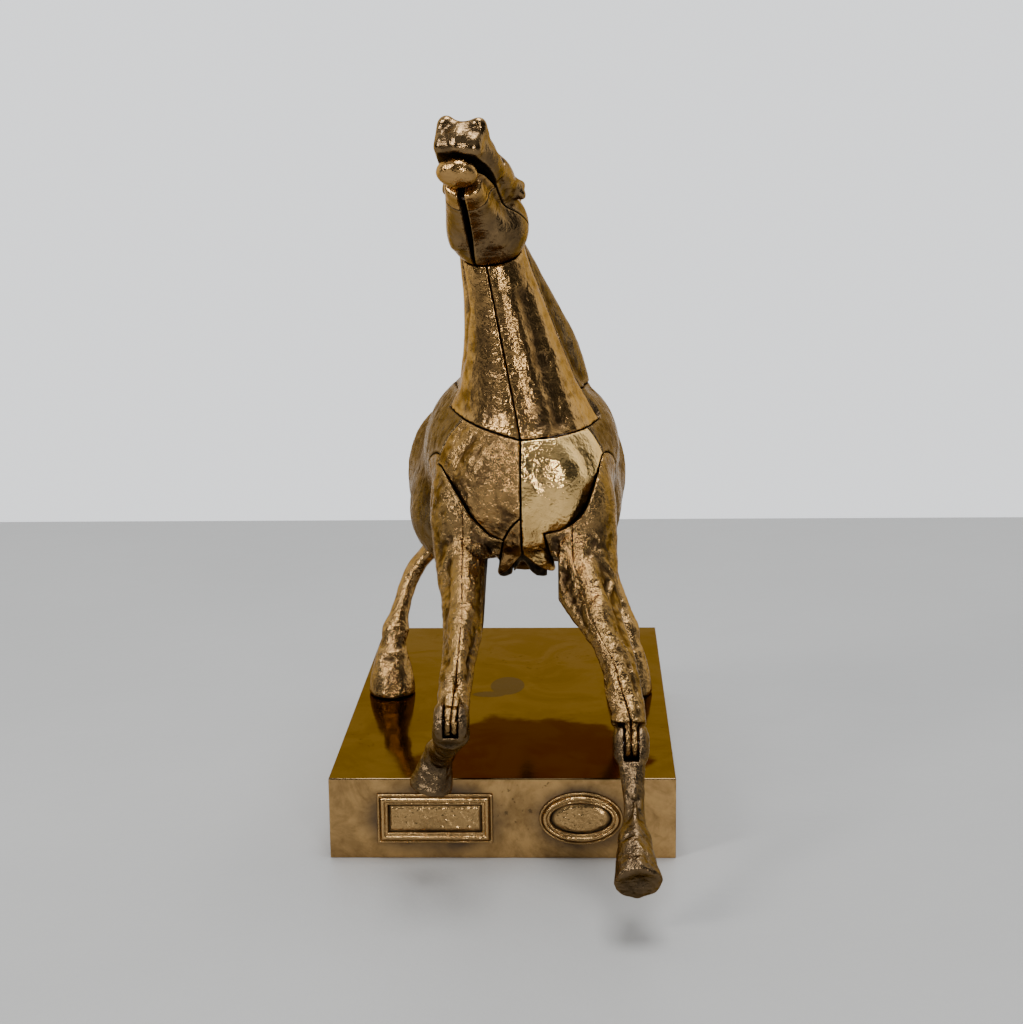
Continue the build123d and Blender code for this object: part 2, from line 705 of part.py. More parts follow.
LEFT_ARM = (
    (206.0, 47.0, -116.0, 12.0, 22.0),
    (187.0, 47.0, -120.0, 19.0, 24.0),
    (167.0, 47.0, -130.0, 21.0, 24.0),
    (146.0, 51.5, -150.0, 16.5, 20.0),
    (127.0, 64.0, -178.0, 11.0, 17.0),
    (104.0, 70.5, -202.0, 10.0, 13.0),
    (86.0, 73.0, -216.0, 10.0, 12.0),
)
RIGHT_ARM = (
    (206.0, -23.0, -116.0, 12.0, 22.0),
    (187.0, -22.0, -120.0, 18.0, 24.0),
    (167.0, -20.0, -130.0, 19.0, 24.0),
    (150.0, -19.5, -155.0, 14.5, 20.0),
    (130.0, -21.0, -190.0, 10.0, 18.0),
    (111.0, -23.0, -225.0, 9.0, 14.0),
    (101.0, -23.0, -243.0, 8.5, 12.0),
)


def left_ply_seam():
    left_ply = ((41, 260), (41, 172), (50, 146), (63.5, 125), (73, 98), (73, 40), (-90, 40), (-90, 260))
    Polyline(*left_ply, close=True)


def right_ply_seam():
    right_ply = (
        (-21, 260), (-21, 170), (-19.5, 150), (-21, 130), (-23, 108), (-23, 40), (190, 40), (190, 260),
    )
    Polyline(*right_ply, close=True)


def left_shank(grow):
    """The left cannon and fetlock, from the knee fork down."""
    rings = (
        (88.0, 73.0, -217.0, 9.8, 10.5),
        (72.0, 73.5, -230.0, 7.0, 9.0),
        (60.0, 74.0, -241.0, 5.8, 8.0),
        (50.0, 74.0, -254.0, 6.4, 9.0),
        (42.0, 74.0, -265.0, 8.2, 9.5),
        (34.0, 74.2, -275.0, 8.0, 9.0),
    )
    return upright_limb(rings, grow)


def right_shank(grow):
    """The right cannon, folded back under the forearm."""
    rings = (
        (-249.0, -23.0, 101.0, 9.8, 9.5),
        (-236.0, -26.0, 91.0, 7.5, 8.2),
        (-222.0, -29.0, 82.0, 6.2, 7.4),
        (-208.0, -32.5, 75.0, 7.6, 8.4),
        (-198.0, -34.5, 70.0, 7.5, 8.0),
    )
    return forward_limb(rings, grow)


def slanted_hoof(*rings):
    """A hoof along its own axis, each ring being (centre, half width, half length)."""
    axis = (Vector(*rings[-1][0]) - Vector(*rings[0][0])).normalized()
    return limb(*((Plane(origin=c, x_dir=(1, 0, 0), z_dir=axis), w, d) for c, w, d in rings))


LEFT_HOOF = slanted_hoof(
    ((73.8, -266, 44), 8.6, 9.0), ((74.4, -277, 37), 11.5, 12.0), ((75, -287, 31), 13.0, 13.0),
)
RIGHT_HOOF = slanted_hoof(
    ((-34.5, -203, 72), 8.4, 8.6), ((-36.5, -202, 63), 11.0, 11.5), ((-38.5, -201, 53), 12.4, 13.0),
)

FORELEGS = (
    (
        "left", 1, LEFT_ARM, LEFT_KNEE, 48.5, (-15, 15), left_shank, LEFT_HOOF, left_ply_seam,
        (chest_left_outline,),
    ),
    (
        "right", -1, RIGHT_ARM, RIGHT_KNEE, 28.5, (-60, 10), right_shank, RIGHT_HOOF, right_ply_seam,
        (chest_right_outline, sternum_outline),
    ),
)

for name, side, arm_rings, knee, arm_angle, bend, shank_form, hoof_form, ply_seam, outlines in FORELEGS:
    knee_x, knee_y, knee_z = knee
    bends = [bend[0] + (bend[1] - bend[0]) * i / 4 for i in range(5)]
    with BuildPart() as fork:
        add(bar(knee_x - FORK_HALF, knee_x + FORK_HALF, knee_y, knee_z, FORK_R))
        fillet(fork.edges().filter_by(GeomType.CIRCLE), FORK_ROUND)

    with BuildPart() as reach:
        add(shoulder_pocket(side, 0))
        add(block((-REACH, REACH), (-REACH, CHEST_BACK_Y - SEAM), (-REACH, 227.0)))
    # The upper leg as one form, before it is parted into its two plies.
    with BuildPart() as upper:
        add(TRUNK_SKIN)
        add(shoulder_pocket(side, 0), mode=Mode.INTERSECT)
        add(upright_limb(arm_rings))
        add(bar(-REACH, REACH, knee_y, knee_z, FORK_R + KNEE_CLEAR), mode=Mode.SUBTRACT)
        for bent in (bend[0], 0, bend[1]):
            add(turned(shank_form(0.8), knee, bent), mode=Mode.SUBTRACT)
        add(bar(knee_x - TONGUE_HALF, knee_x + TONGUE_HALF, knee_y, knee_z, TONGUE_R))
        add(side_bar(knee_x, knee_y, knee_z, arm_angle, 0, 17, TONGUE_HALF, 6.5))
        add(reach.part, mode=Mode.INTERSECT)
        for outline in outlines:
            add(front_cut(outline, -REACH, CHEST_BACK_Y + SEAM / 2, SEAM / 2), mode=Mode.SUBTRACT)
        add(bar(-60, 90, SHOULDER_Y, SHOULDER_Z, AXLE_R + AXLE_PLAY), mode=Mode.SUBTRACT)
        add(bar(-REACH, REACH, knee_y, knee_z, KNEE_PIN_R + PIN_PLAY), mode=Mode.SUBTRACT)
    inner_region = front_cut(ply_seam, -REACH, REACH, -PLY_GAP / 2)
    inner_grown = front_cut(ply_seam, -REACH, REACH, PLY_GAP / 2)
    with BuildPart() as inner_ply:
        add(upper.part)
        add(inner_region, mode=Mode.INTERSECT)
    with BuildPart() as outer_ply:
        add(upper.part)
        add(inner_grown, mode=Mode.SUBTRACT)
    finish(inner_ply.part, f"foreleg_{name}_inner", smallest=200)
    finish(outer_ply.part, f"foreleg_{name}_outer", smallest=200)

    # The lower leg, forked round the tongue.
    with BuildPart() as lower:
        add(shank_form(0))
        add(hoof_form)
        add(fork.part)
        add(bar(knee_x - SLOT_HALF, knee_x + SLOT_HALF, knee_y, knee_z, SLOT_R), mode=Mode.SUBTRACT)
        for bent in bends:
            slot = side_bar(knee_x, knee_y, knee_z, arm_angle - bent, 0, 34, SLOT_HALF, 7.4)
            add(slot, mode=Mode.SUBTRACT)
        add(bar(-REACH, REACH, knee_y, knee_z, KNEE_PIN_R), mode=Mode.SUBTRACT)
    finish(lower.part, f"lower_leg_{name}", smallest=200)
    pin_reach = FORK_HALF - 0.3
    finish(bar(knee_x - pin_reach, knee_x + pin_reach, knee_y, knee_z, KNEE_PIN_R), f"knee_pin_{name}")
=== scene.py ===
import json
import math

import bpy
import numpy as np
from mathutils import Matrix, Vector


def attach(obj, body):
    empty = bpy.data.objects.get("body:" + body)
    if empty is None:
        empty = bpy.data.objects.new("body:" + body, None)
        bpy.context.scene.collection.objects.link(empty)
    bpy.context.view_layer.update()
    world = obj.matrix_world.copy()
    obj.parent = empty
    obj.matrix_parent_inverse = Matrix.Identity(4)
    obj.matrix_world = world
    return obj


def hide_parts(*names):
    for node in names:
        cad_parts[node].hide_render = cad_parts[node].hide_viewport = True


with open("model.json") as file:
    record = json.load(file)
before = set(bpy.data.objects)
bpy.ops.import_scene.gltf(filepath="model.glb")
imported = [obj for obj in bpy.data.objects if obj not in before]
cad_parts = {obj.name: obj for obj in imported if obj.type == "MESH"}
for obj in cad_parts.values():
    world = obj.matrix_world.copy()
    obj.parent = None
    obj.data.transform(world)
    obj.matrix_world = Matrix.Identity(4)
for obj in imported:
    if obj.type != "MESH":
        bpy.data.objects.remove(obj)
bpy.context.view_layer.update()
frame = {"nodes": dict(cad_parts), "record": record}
RNG = np.random.default_rng(7)

# ---- sizes shared with the CAD part, in millimetres
SEAM = 0.40
WALL = 7.0
CHEST_X, BODY_X = 12.0, 6.0
CHEST_BACK_Y, NECK_BACK_Y, CREST_Z = -117.0, -92.0, 262.0
SHOULDER_Y, SHOULDER_Z, SHOULDER_R, POCKET_HALF = -112.0, 190.0, 37.0, 14.5
PIVOT = np.array((-6.0, -116.0, 359.0))
BALL_R = 23.5
NECK_FOOT = np.array((12.0, -95.0, 225.0))
HEAD_AXIS = (PIVOT - NECK_FOOT) / np.linalg.norm(PIVOT - NECK_FOOT)
BASE_D, BASE_H = 340.0, 48.0
LEFT_KNEE, RIGHT_KNEE = (73.0, -218.0, 84.0), (-23.0, -245.0, 105.0)

# The mouldings and panels on the plinth's front: centre (x, z) and half sizes
RECT_AT, RECT_HALF, RECT_PANEL_HALF = (-38.7, 24.1), (33.4, 14.8), (26.8, 8.2)
OVAL_AT, OVAL_HALF, OVAL_PANEL_HALF = (45.4, 24.1), (24.2, 15.8), (17.6, 9.2)

# ---- distance fields
CELL = 2.0  # the sculpting grid's spacing, with its first corner and its number of points
LOW = np.array((-104.0, -304.0, 8.0))
COUNT = (106, 232, 212)
FAR = 24.0  # the value of an empty field


def smin(a, b, k):
    """Joins two fields with a soft fillet of size k."""
    h = np.clip(0.5 + 0.5 * (b - a) / k, 0, 1)
    return b * (1 - h) + a * h - k * h * (1 - h)


def smax(a, b, k):
    return -smin(-a, -b, k)


def curve_at(t, knots, values):
    """A smooth run of values through knots, with flat ends."""
    knots, values = np.asarray(knots, float), np.asarray(values, float)
    slopes = np.gradient(values, knots)
    i = np.clip(np.searchsorted(knots, t) - 1, 0, len(knots) - 2)
    h = knots[i + 1] - knots[i]
    s = np.clip((t - knots[i]) / h, 0, 1)
    s2, s3 = s * s, s * s * s
    return (
        (2 * s3 - 3 * s2 + 1) * values[i] + (s3 - 2 * s2 + s) * h * slopes[i]
        + (3 * s2 - 2 * s3) * values[i + 1] + (s3 - s2) * h * slopes[i + 1]
    )


def loft_share(rings, along, across, up):
    """The share of the way from a loft's middle line to its surface, the way past its ends, its half height."""
    t, *columns = (np.array(col, float) for col in zip(*sorted(rings)))
    at = np.clip(along, t[0], t[-1])
    cx, cu, rx, ru = (curve_at(at, t, col) for col in columns)
    q = np.sqrt(((across - cx) / rx) ** 2 + ((up - cu) / ru) ** 2)
    return q, np.maximum(t[0] - along, along - t[-1]), ru


def loft_form(rings, along, across, up, least):
    """The share turned into a distance by its own slope, which is kept above a least value."""
    q, beyond, _ = loft_share(rings, along, across, up)
    slope = np.maximum(np.sqrt(sum(v * v for v in np.gradient(q, CELL))), least)
    return np.maximum(np.clip((q - 1) / slope, -30, 30), beyond)


def subdivide(v, axis):
    """Twice the samples along one axis, by the smooth subdivision rule."""
    v = np.moveaxis(v, axis, 0)
    out = np.empty((2 * (len(v) - 2),) + v.shape[1:], np.float32)
    out[0::2], out[1::2] = (v[:-2] + 6 * v[1:-1] + v[2:]) / 8, (v[1:-1] + v[2:]) / 2
    return np.moveaxis(out, 0, axis)


class Field:
    """A sculpted mass on a coarse grid. Every form is added only near where it lies."""

    def __init__(self):
        self.v = np.full(COUNT, FAR, np.float32)

    def window(self, low, high):
        a = np.clip(np.floor((np.asarray(low) - LOW) / CELL).astype(int), 0, np.array(COUNT) - 3)
        b = np.clip(np.ceil((np.asarray(high) - LOW) / CELL).astype(int) + 1, a + 3, COUNT)
        axes = [LOW[i] + CELL * np.arange(a[i], b[i]) for i in range(3)]
        return tuple(slice(p, q) for p, q in zip(a, b)), np.meshgrid(*axes, indexing="ij", sparse=True)

    def put(self, low, high, form, k, sign=1):
        box, (x, y, z) = self.window(np.asarray(low) - 16, np.asarray(high) + 16)
        d = form(x, y, z)
        self.v[box] = smin(self.v[box], d, k) if sign > 0 else smax(self.v[box], -d, k)

    def ball(self, centre, radii, k=8.0, sign=1, turn=None):
        """An ellipsoid. turn is a 3 x 3 rotation whose rows are its axes."""
        c, r = np.asarray(centre, float), np.asarray(radii, float) * np.ones(3)
        t = np.eye(3) if turn is None else np.asarray(turn)

        def form(x, y, z):
            p = [t[i][0] * (x - c[0]) + t[i][1] * (y - c[1]) + t[i][2] * (z - c[2]) for i in range(3)]
            k0 = np.sqrt(sum((p[i] / r[i]) ** 2 for i in range(3)))
            k1 = np.sqrt(sum((p[i] / r[i] ** 2) ** 2 for i in range(3))) + 1e-6
            return k0 * (k0 - 1) / k1

        reach = r.max()
        self.put(c - reach, c + reach, form, k, sign)

    def cone(self, a, b, ra, rb, k=6.0, sign=1):
        """A round cone between two points."""
        a, b = np.asarray(a, float), np.asarray(b, float)
        ab = b - a
        n = ab @ ab

        def form(x, y, z):
            h = np.clip(((x - a[0]) * ab[0] + (y - a[1]) * ab[1] + (z - a[2]) * ab[2]) / n, 0, 1)
            off = (x - a[0] - h * ab[0], y - a[1] - h * ab[1], z - a[2] - h * ab[2])
            return np.sqrt(off[0] ** 2 + off[1] ** 2 + off[2] ** 2) - (ra + (rb - ra) * h)

        r = max(ra, rb)
        self.put(np.minimum(a, b) - r, np.maximum(a, b) + r, form, k, sign)

    def chain(self, points, radii, k=4.0, sign=1):
        for i in range(len(points) - 1):
            self.cone(points[i], points[i + 1], radii[i], radii[i + 1], k, sign)

    def loft(self, rings, axis, k=8.0):
        """Ellipses along axis 1 (Y) or 2 (Z): (place, centre x, other centre, half x, half other)."""
        t, cx, cu, rx, ru = (np.array(col, float) for col in zip(*sorted(rings)))
        low = [(cx - rx).min(), (cu - ru).min(), (cu - ru).min()]
        high = [(cx + rx).max(), (cu + ru).max(), (cu + ru).max()]
        low[axis], high[axis] = t[0], t[-1]

        def form(x, y, z):
            return loft_form(rings, *((y, x, z) if axis == 1 else (z, x, y)), 0.004)

        self.put(low, high, form, k)

    def fine(self, low, high, level):
        """The field in a box, upsampled by smooth subdivision. Returns values, first point and spacing."""
        a = np.clip(np.floor((np.asarray(low) - LOW) / CELL).astype(int) - 2, 0, np.array(COUNT) - 5)
        b = np.clip(np.ceil((np.asarray(high) - LOW) / CELL).astype(int) + 3, a + 5, COUNT)
        v = self.v[a[0] : b[0], a[1] : b[1], a[2] : b[2]]
        start, h = LOW + CELL * a, CELL
        for _ in range(level):
            for axis in range(3):
                v = subdivide(v, axis)
            start = start + h
            h /= 2
        return v, start, h


# ---- surface from a field
def surface(v, start, h):
    """Vertices and quads of the zero surface of a field on a grid."""
    inside = v < 0
    nx, ny, nz = (n - 1 for n in v.shape)
    corners = [(i, j, k) for i in (0, 1) for j in (0, 1) for k in (0, 1)]
    count = sum(inside[i : i + nx, j : j + ny, k : k + nz].astype(np.int8) for i, j, k in corners)
    cells = np.argwhere((count > 0) & (count < 8))
    index = np.full((nx, ny, nz), -1, np.int32)
    index[tuple(cells.T)] = np.arange(len(cells))
    total, hits = np.zeros((len(cells), 3)), np.zeros(len(cells))
    for p in corners:
        for axis in range(3):
            if p[axis]:
                continue
            q = list(p)
            q[axis] = 1
            a = v[tuple((cells + p).T)]
            b = v[tuple((cells + q).T)]
            cross = (a < 0) != (b < 0)
            t = np.where(cross, a / np.where(cross, a - b, 1), 0)
            place = np.tile(np.array(p, float), (len(cells), 1))
            place[:, axis] += t
            total += place * cross[:, None]
            hits += cross
    points = start + h * (cells + total / hits[:, None])
    quads = []
    for axis in range(3):
        u, w = (axis + 1) % 3, (axis + 2) % 3
        a = [slice(None)] * 3
        b = [slice(None)] * 3
        a[axis], b[axis] = slice(None, -1), slice(1, None)
        edge = np.argwhere(inside[tuple(a)] != inside[tuple(b)])
        last = (v.shape[u] - 1, v.shape[w] - 1)
        edge = edge[(edge[:, u] > 0) & (edge[:, w] > 0) & (edge[:, u] < last[0]) & (edge[:, w] < last[1])]
        starts_in = inside[tuple(edge.T)]
        around = []
        for du, dw in ((-1, -1), (0, -1), (0, 0), (-1, 0)):
            c = edge.copy()
            c[:, u] += du
            c[:, w] += dw
            around.append(index[tuple(c.T)])
        quad = np.stack(around, 1)
        quad[~starts_in] = quad[~starts_in][:, ::-1]
        quads.append(quad)
    return points, np.concatenate(quads)


def mesh_edges(quads, n):
    """The quads' sides as pairs of vertices, and the number of sides at each of n vertices."""
    edges = np.concatenate([quads[:, [i, (i + 1) % 4]] for i in range(4)])
    degree = np.bincount(edges[:, 0], minlength=n) + np.bincount(edges[:, 1], minlength=n)
    return edges, np.maximum(degree, 1)[:, None]


def neighbour_mean(points, edges, degree):
    a, b, n = edges[:, 0], edges[:, 1], len(points)
    sums = [np.bincount(a, points[b, i], n) + np.bincount(b, points[a, i], n) for i in range(3)]
    return np.stack(sums, 1) / degree


def relax(points, quads, rounds, keep=0.5):
    """Evens out the surface a little without shrinking it."""
    edges, degree = mesh_edges(quads, len(points))
    for _ in range(rounds):
        for weight in (keep, -keep * 1.02):
            points = points + weight * (neighbour_mean(points, edges, degree) - points)
    return points


def mesh_object(name, points, quads, material):
    mesh = bpy.data.meshes.new(name)
    mesh.vertices.add(len(points))
    mesh.vertices.foreach_set("co", (points * 0.001).astype(np.float32).ravel())
    mesh.loops.add(quads.size)
    mesh.loops.foreach_set("vertex_index", quads.astype(np.int32).ravel())
    mesh.polygons.add(len(quads))
    mesh.polygons.foreach_set("loop_start", (np.arange(len(quads)) * 4).astype(np.int32))
    mesh.update(calc_edges=True)
    mesh.shade_smooth()
    mesh.materials.append(material)
    obj = bpy.data.objects.new(name, mesh)
    bpy.context.scene.collection.objects.link(obj)
    return obj


def store(obj, wear, seam):
    """Per vertex: how far it stands out or lies deep, and its distance from a seam. The bronzes read both."""
    for key, values in (("wear", wear), ("seam", seam)):
        values = np.asarray(values, np.float32).ravel()
        obj.data.attributes.new(key, "FLOAT", "POINT").data.foreach_set("value", values)


def seam_run(*points, steps=8):
    """Points along a smooth line through the given ones."""
    p = np.asarray(points, float)
    knots = np.concatenate([[0], np.cumsum(np.linalg.norm(np.diff(p, axis=0), axis=1))])
    t = np.linspace(0, knots[-1], steps * (len(p) - 1) + 1)
    return [tuple(q) for q in np.stack([curve_at(t, knots, p[:, i]) for i in range(2)], 1)]


def polygon(outline, x, z):
    """Signed distance in the front view to a closed outline, negative inside."""
    p = np.asarray(outline, float)
    px, pz = np.broadcast_arrays(x, z)
    best = np.full(px.shape, 1e9)
    inside = np.zeros(px.shape, bool)
    for a, b in zip(p, np.roll(p, -1, 0)):
        e = b - a
        wx, wz = px - a[0], pz - a[1]
        t = np.clip((wx * e[0] + wz * e[1]) / (e @ e + 1e-12), 0, 1)
        best = np.minimum(best, (wx - e[0] * t) ** 2 + (wz - e[1] * t) ** 2)
        crosses = (a[1] > pz) != (b[1] > pz)
        where = a[0] + (pz - a[1]) * e[0] / (e[1] if abs(e[1]) > 1e-9 else 1e-9)
        inside ^= crosses & (px < where)
    return np.where(inside, -1, 1) * np.sqrt(best)


COLLAR_RIGHT = seam_run((-60, 266), (-28, 251), (CHEST_X, 240))
COLLAR_LEFT = seam_run((CHEST_X, 240), (54, 244), (90, 257))
CHEST_SIDE_LEFT = seam_run((58.5, 227), (53, 210), (46.5, 196.5), (37, 189), (25, 186), steps=6)
CHEST_SIDE_RIGHT = seam_run((-6, 185), (-17, 197), (-23.5, 207.5), (-34.5, 222), steps=6)
WEDGE = seam_run((CHEST_X, 196), (6.5, 190.5), (1.5, 182), steps=4)
OUTLINES = {
    "neck_left": COLLAR_LEFT + [(90, 400), (-18.6, 400)],
    "neck_right": COLLAR_RIGHT + [(-18.6, 400), (-60, 400)],
    "chest_left": COLLAR_LEFT + [(90, 228)] + CHEST_SIDE_LEFT
    + [(32, 159), (31.5, 156.5), (25, 161), (CHEST_X, 170)],
    "chest_right": COLLAR_RIGHT + WEDGE + CHEST_SIDE_RIGHT + [(-60, 223)],
    "sternum": WEDGE + [(-3, 160), (-2.5, 156.5), (4, 161), (CHEST_X, 170)],
}
# Each foreleg's inner ply in the front view
LEFT_PLY = [(41, 300), (41, 172), (50, 146), (63.5, 125), (73, 98), (73, 0), (-140, 0), (-140, 300)]
RIGHT_PLY = [(-21, 300), (-21, 170), (-19.5, 150), (-21, 130), (-23, 108), (-23, 0), (160, 0), (160, 300)]

# ---- the sculpted masses
# A loft's rings: place along its axis, centre x, the other centre, half width in x, the other half width
TRUNK = (
    (-150, 12, 209, 10, 10), (-146, 12, 209, 25, 24), (-132, 12, 211, 40, 38), (-108, 11, 215, 49, 49),
    (-65, 9, 219, 57, 59), (-20, 7, 206, 61, 61), (30, 5.5, 197, 62, 60), (72, 4.5, 202, 60.5, 57),
    (106, 4, 206, 48, 46), (126, 4, 208, 27, 27), (133, 4, 208, 9, 9),
)
NECK = (
    (226, 12.5, -88, 40, 52), (250, 12.5, -90, 38.5, 48), (270, 9.5, -92, 34, 43), (292, 6.5, -95, 28.5, 37),
    (316, 2, -98, 23.5, 31), (338, -3, -100, 20, 27), (352, -5.5, -101, 18.5, 25.5),
)
horse = Field()
horse.loft(TRUNK, 1)
horse.loft(NECK, 2, 10)
for side in (1, -1):
    bx, cx = BODY_X, CHEST_X
    out = 0 if side > 0 else 3
    horse.ball((bx + side * (37 + out), 32, 194), (35, 56, 49), 9)  # thigh
    horse.ball((bx + side * (36 + out), 74, 231), (32, 46, 48), 12)  # croup
    horse.ball((bx + side * (32 + out), -24, 178), (33, 50, 36), 14)  # flank
    horse.ball((cx + side * 34, -104, 206), (17, 30, 37), 9)  # shoulder blade
    horse.ball((cx + side * 36, -62, 221), (20, 42, 33), 10)  # withers
    horse.ball((cx + side * 17, -134, 213), (17, 14.5, 25), 6)  # breast
    horse.ball((cx + side * 11.5, -115, 180), (13, 21, 26), 5)  # keel of the breastbone
CREST = (
    (262, 16, -60, 36, 28), (285, 13.5, -66, 32, 25), (312, 7, -72, 25.5, 22), (340, 0, -82, 18, 18),
    (368, -6, -90, 11, 12),
)
horse.loft(CREST, 2, 4)
horse.ball((CHEST_X, -78, 166), (20, 30, 15), 8)  # front of the belly, behind the breastbone
# hollows: the two grooves at the sides of the neck, two in front, and the armpits
GROOVE = ((56, -92, 248), (45, -94, 272), (33, -96, 295), (23, -98, 318), (14, -98, 345))
horse.chain(GROOVE, (2.6, 3.0, 3.2, 3.0, 2.4), 3, -1)
horse.chain(((-30, -96, 262), (-24, -108, 285), (-20, -112, 312), (-20, -108, 340)), (1.8, 2.4, 2.4, 1.6), 4, -1)
horse.chain(((36, -132, 250), (27, -128, 284), (16, -124, 320)), (3.0, 3.0, 2.4), 9, -1)
horse.chain(((13, -142, 246), (4, -137, 286), (-4, -131, 330)), (1.6, 1.4, 1.2), 5, -1)
for x in (-24, 36):
    horse.ball((x, -60, 150), (16, 34, 12), 8, -1)


def unevenness(seed):
    """Broad and fine irregularity of a sand casting, on the coarse grid."""
    rng = np.random.default_rng(seed)
    shape = [n // 2 + 4 for n in COUNT]
    v = rng.standard_normal(shape).astype(np.float32)
    for axis in range(3):
        v = subdivide(v, axis)
    v = v[: COUNT[0], : COUNT[1], : COUNT[2]]
    return 0.55 * v + 0.30 * rng.standard_normal(COUNT).astype(np.float32)


GX, GY, GZ = np.meshgrid(*(LOW[i] + CELL * np.arange(COUNT[i]) for i in range(3)), indexing="ij", sparse=True)
ROUGHEN = 0.45 + 0 * GX + 0 * GY + 0 * GZ
for where, amount in (
    ((GX > CHEST_X) & (GY < -112) & (GZ > 186) & (GZ < 242), 0.12),  # the polished chest plate
    ((GX < CHEST_X) & (GY < -112) & (GZ > 182) & (GZ < 244), 0.85),  # the pitted one
    ((GY < -112) & (GZ < 184), 0.9),  # forelegs
    ((GY < -90) & (GZ > 262), 0.25),  # neck and head
):
    ROUGHEN = np.where(where, amount, ROUGHEN)
ROUGHEN = ROUGHEN.astype(np.float32)

LEFT_ARM = (
    (206, 47, -116, 12, 22), (187, 47, -120, 19, 24), (167, 47, -130, 20.5, 24), (146, 51.5, -150, 16.5, 20),
    (127, 64, -178, 11, 17), (104, 70.5, -202, 10, 13), (86, 73, -216, 10, 12),
)
RIGHT_ARM = (
    (206, -23, -116, 12, 22), (187, -22, -120, 18, 24), (167, -20, -130, 19, 24), (150, -19.5, -155, 14.5, 20),
    (130, -21, -190, 10, 18), (111, -23, -225, 9, 14), (101, -23, -243, 8.5, 12),
)
LEFT_SHANK = (
    (88, 73, -217, 9.8, 10.5), (72, 73.5, -230, 7, 9), (60, 74, -241, 5.8, 8), (50, 74, -254, 6.4, 9),
    (42, 74, -265, 8.2, 9.5), (34, 74.2, -275, 8, 9),
)
RIGHT_SHANK = (
    (-249, -23, 101, 9.8, 9.5), (-236, -26, 91, 7.5, 8.2), (-222, -29, 82, 6.2, 7.4), (-208, -32.5, 75, 7.6, 8.4),
    (-198, -34.5, 70, 7.5, 8.0),
)
arms = Field()
arms.v = horse.v.copy()
arms.loft(LEFT_ARM, 2, 8)
arms.loft(RIGHT_ARM, 2, 8)
for side, x in ((1, 47), (-1, -22)):
    arms.ball((x + side * 2, -118, 196), (17, 27, 27), 6)
arms.chain(((44, -140, 176), (56, -172, 146), (68, -196, 116)), (9, 7, 4), 5)
arms.chain(((-20, -146, 172), (-20, -184, 146), (-22, -218, 124)), (9, 7, 4), 5)


def ridges(field, rings, count, z_from, z_to, middle, spread, seed):
    """Rough runs and scars left by the mould, straggling down the front of a leg."""
    rng = np.random.default_rng(seed)
    z0, cx, cy, rx, ry = (np.array(col, float) for col in zip(*sorted(rings)))
    for _ in range(count):
        z = rng.uniform(z_from, z_to)
        phi = middle + spread * rng.normal()
        points = []
        for _ in range(4):
            x = np.interp(z, z0, cx) + np.interp(z, z0, rx) * math.sin(phi)
            y = np.interp(z, z0, cy) - np.interp(z, z0, ry) * math.cos(phi)
            points.append((x, y - 0.4, z))
            z -= rng.uniform(2.5, 6.0)
            phi += rng.normal() * 0.16
        raised = rng.random() < 0.55
        width = rng.uniform(0.9, 1.9) if raised else rng.uniform(0.8, 1.3)
        field.chain(points, (0.6 * width, width, 0.9 * width, 0.5 * width), 1.0, 1 if raised else -1)


def hind_leg(field, side):
    hx = 77.0 if side > 0 else -79.0  # the hoof's middle
    bx = BODY_X
    leg = (
        (182, bx + side * 45, 8, 13, 15), (162, bx + side * 49, 22, 12.5, 16), (144, bx + side * 54, 38, 9.5, 14),
        (124, hx - side * 14, 37, 6.8, 9.6), (104, hx - side * 6, 25, 6.0, 7.6), (89, hx - side * 2, 16, 7.6, 8.6),
        (74, hx, 8, 8, 9),
    )
    hoof_rings = ((48, hx, 4, 15.4, 17.8), (58, hx, 5, 14.2, 16.4), (68, hx, 6.5, 11.8, 13.4), (77, hx, 8, 9, 10.4))
    field.loft(leg, 2, 4)
    field.ball((bx + side * 55, 47, 145), (8, 9, 11), 5)  # hock
    field.ball((hx - side * 2, 15, 88), (8.2, 9, 7), 4)  # fetlock
    field.loft(hoof_rings, 2, 3)
    field.chain(((hx - 9, 1, 73.5), (hx, -4.5, 72), (hx + 9, 1, 73.5)), (1.0, 1.0, 1.0), 1.5, -1)


ridges(arms, LEFT_ARM, 34, 100, 182, 0.15, 0.34, 21)
ridges(arms, RIGHT_ARM, 22, 112, 186, 0.30, 0.28, 22)

hind = Field()
hind_leg(hind, 1)
hind_leg(hind, -1)
CAST = unevenness(11) * ROUGHEN
horse.v += CAST
arms.v += CAST
hind.v += CAST * 1.2

shanks = Field()
shanks.loft(LEFT_SHANK, 2, 4)
shanks.loft(RIGHT_SHANK, 1, 4)
shanks.ball((74, -262, 46), (8.6, 9, 7.5), 5)
shanks.ball((-32, -205, 77), (8.2, 7.8, 7.6), 4)


def hoof(field, stations):
    """A hoof from coronet to sole, as stacked discs that widen, with a hollow sole."""
    (a, ra), (b, rb) = stations
    a, b = np.asarray(a, float), np.asarray(b, float)
    axis = (b - a) / np.linalg.norm(b - a)
    length = np.linalg.norm(b - a)

    def form(x, y, z):
        p = [x - a[0], y - a[1], z - a[2]]
        s = sum(axis[i] * p[i] for i in range(3))
        across = np.sqrt(np.maximum(sum(v * v for v in p) - s * s, 0))
        r = ra + (rb - ra) * np.clip(s / length, -0.2, 1.1)
        d = (across - r) * 0.95
        sole = s - length + 1.6 * np.clip(1 - across / (rb * 0.7), 0, 1)
        return smax(np.maximum(d, -s), sole, 1.0)

    field.put(np.minimum(a, b) - rb, np.maximum(a, b) + rb, form, 2.0)


hoof(shanks, (((73.8, -267, 43), 9.2), ((75, -287, 31), 13.1)))
hoof(shanks, (((-34.5, -203, 72), 8.6), ((-38.5, -201, 53), 12.5)))

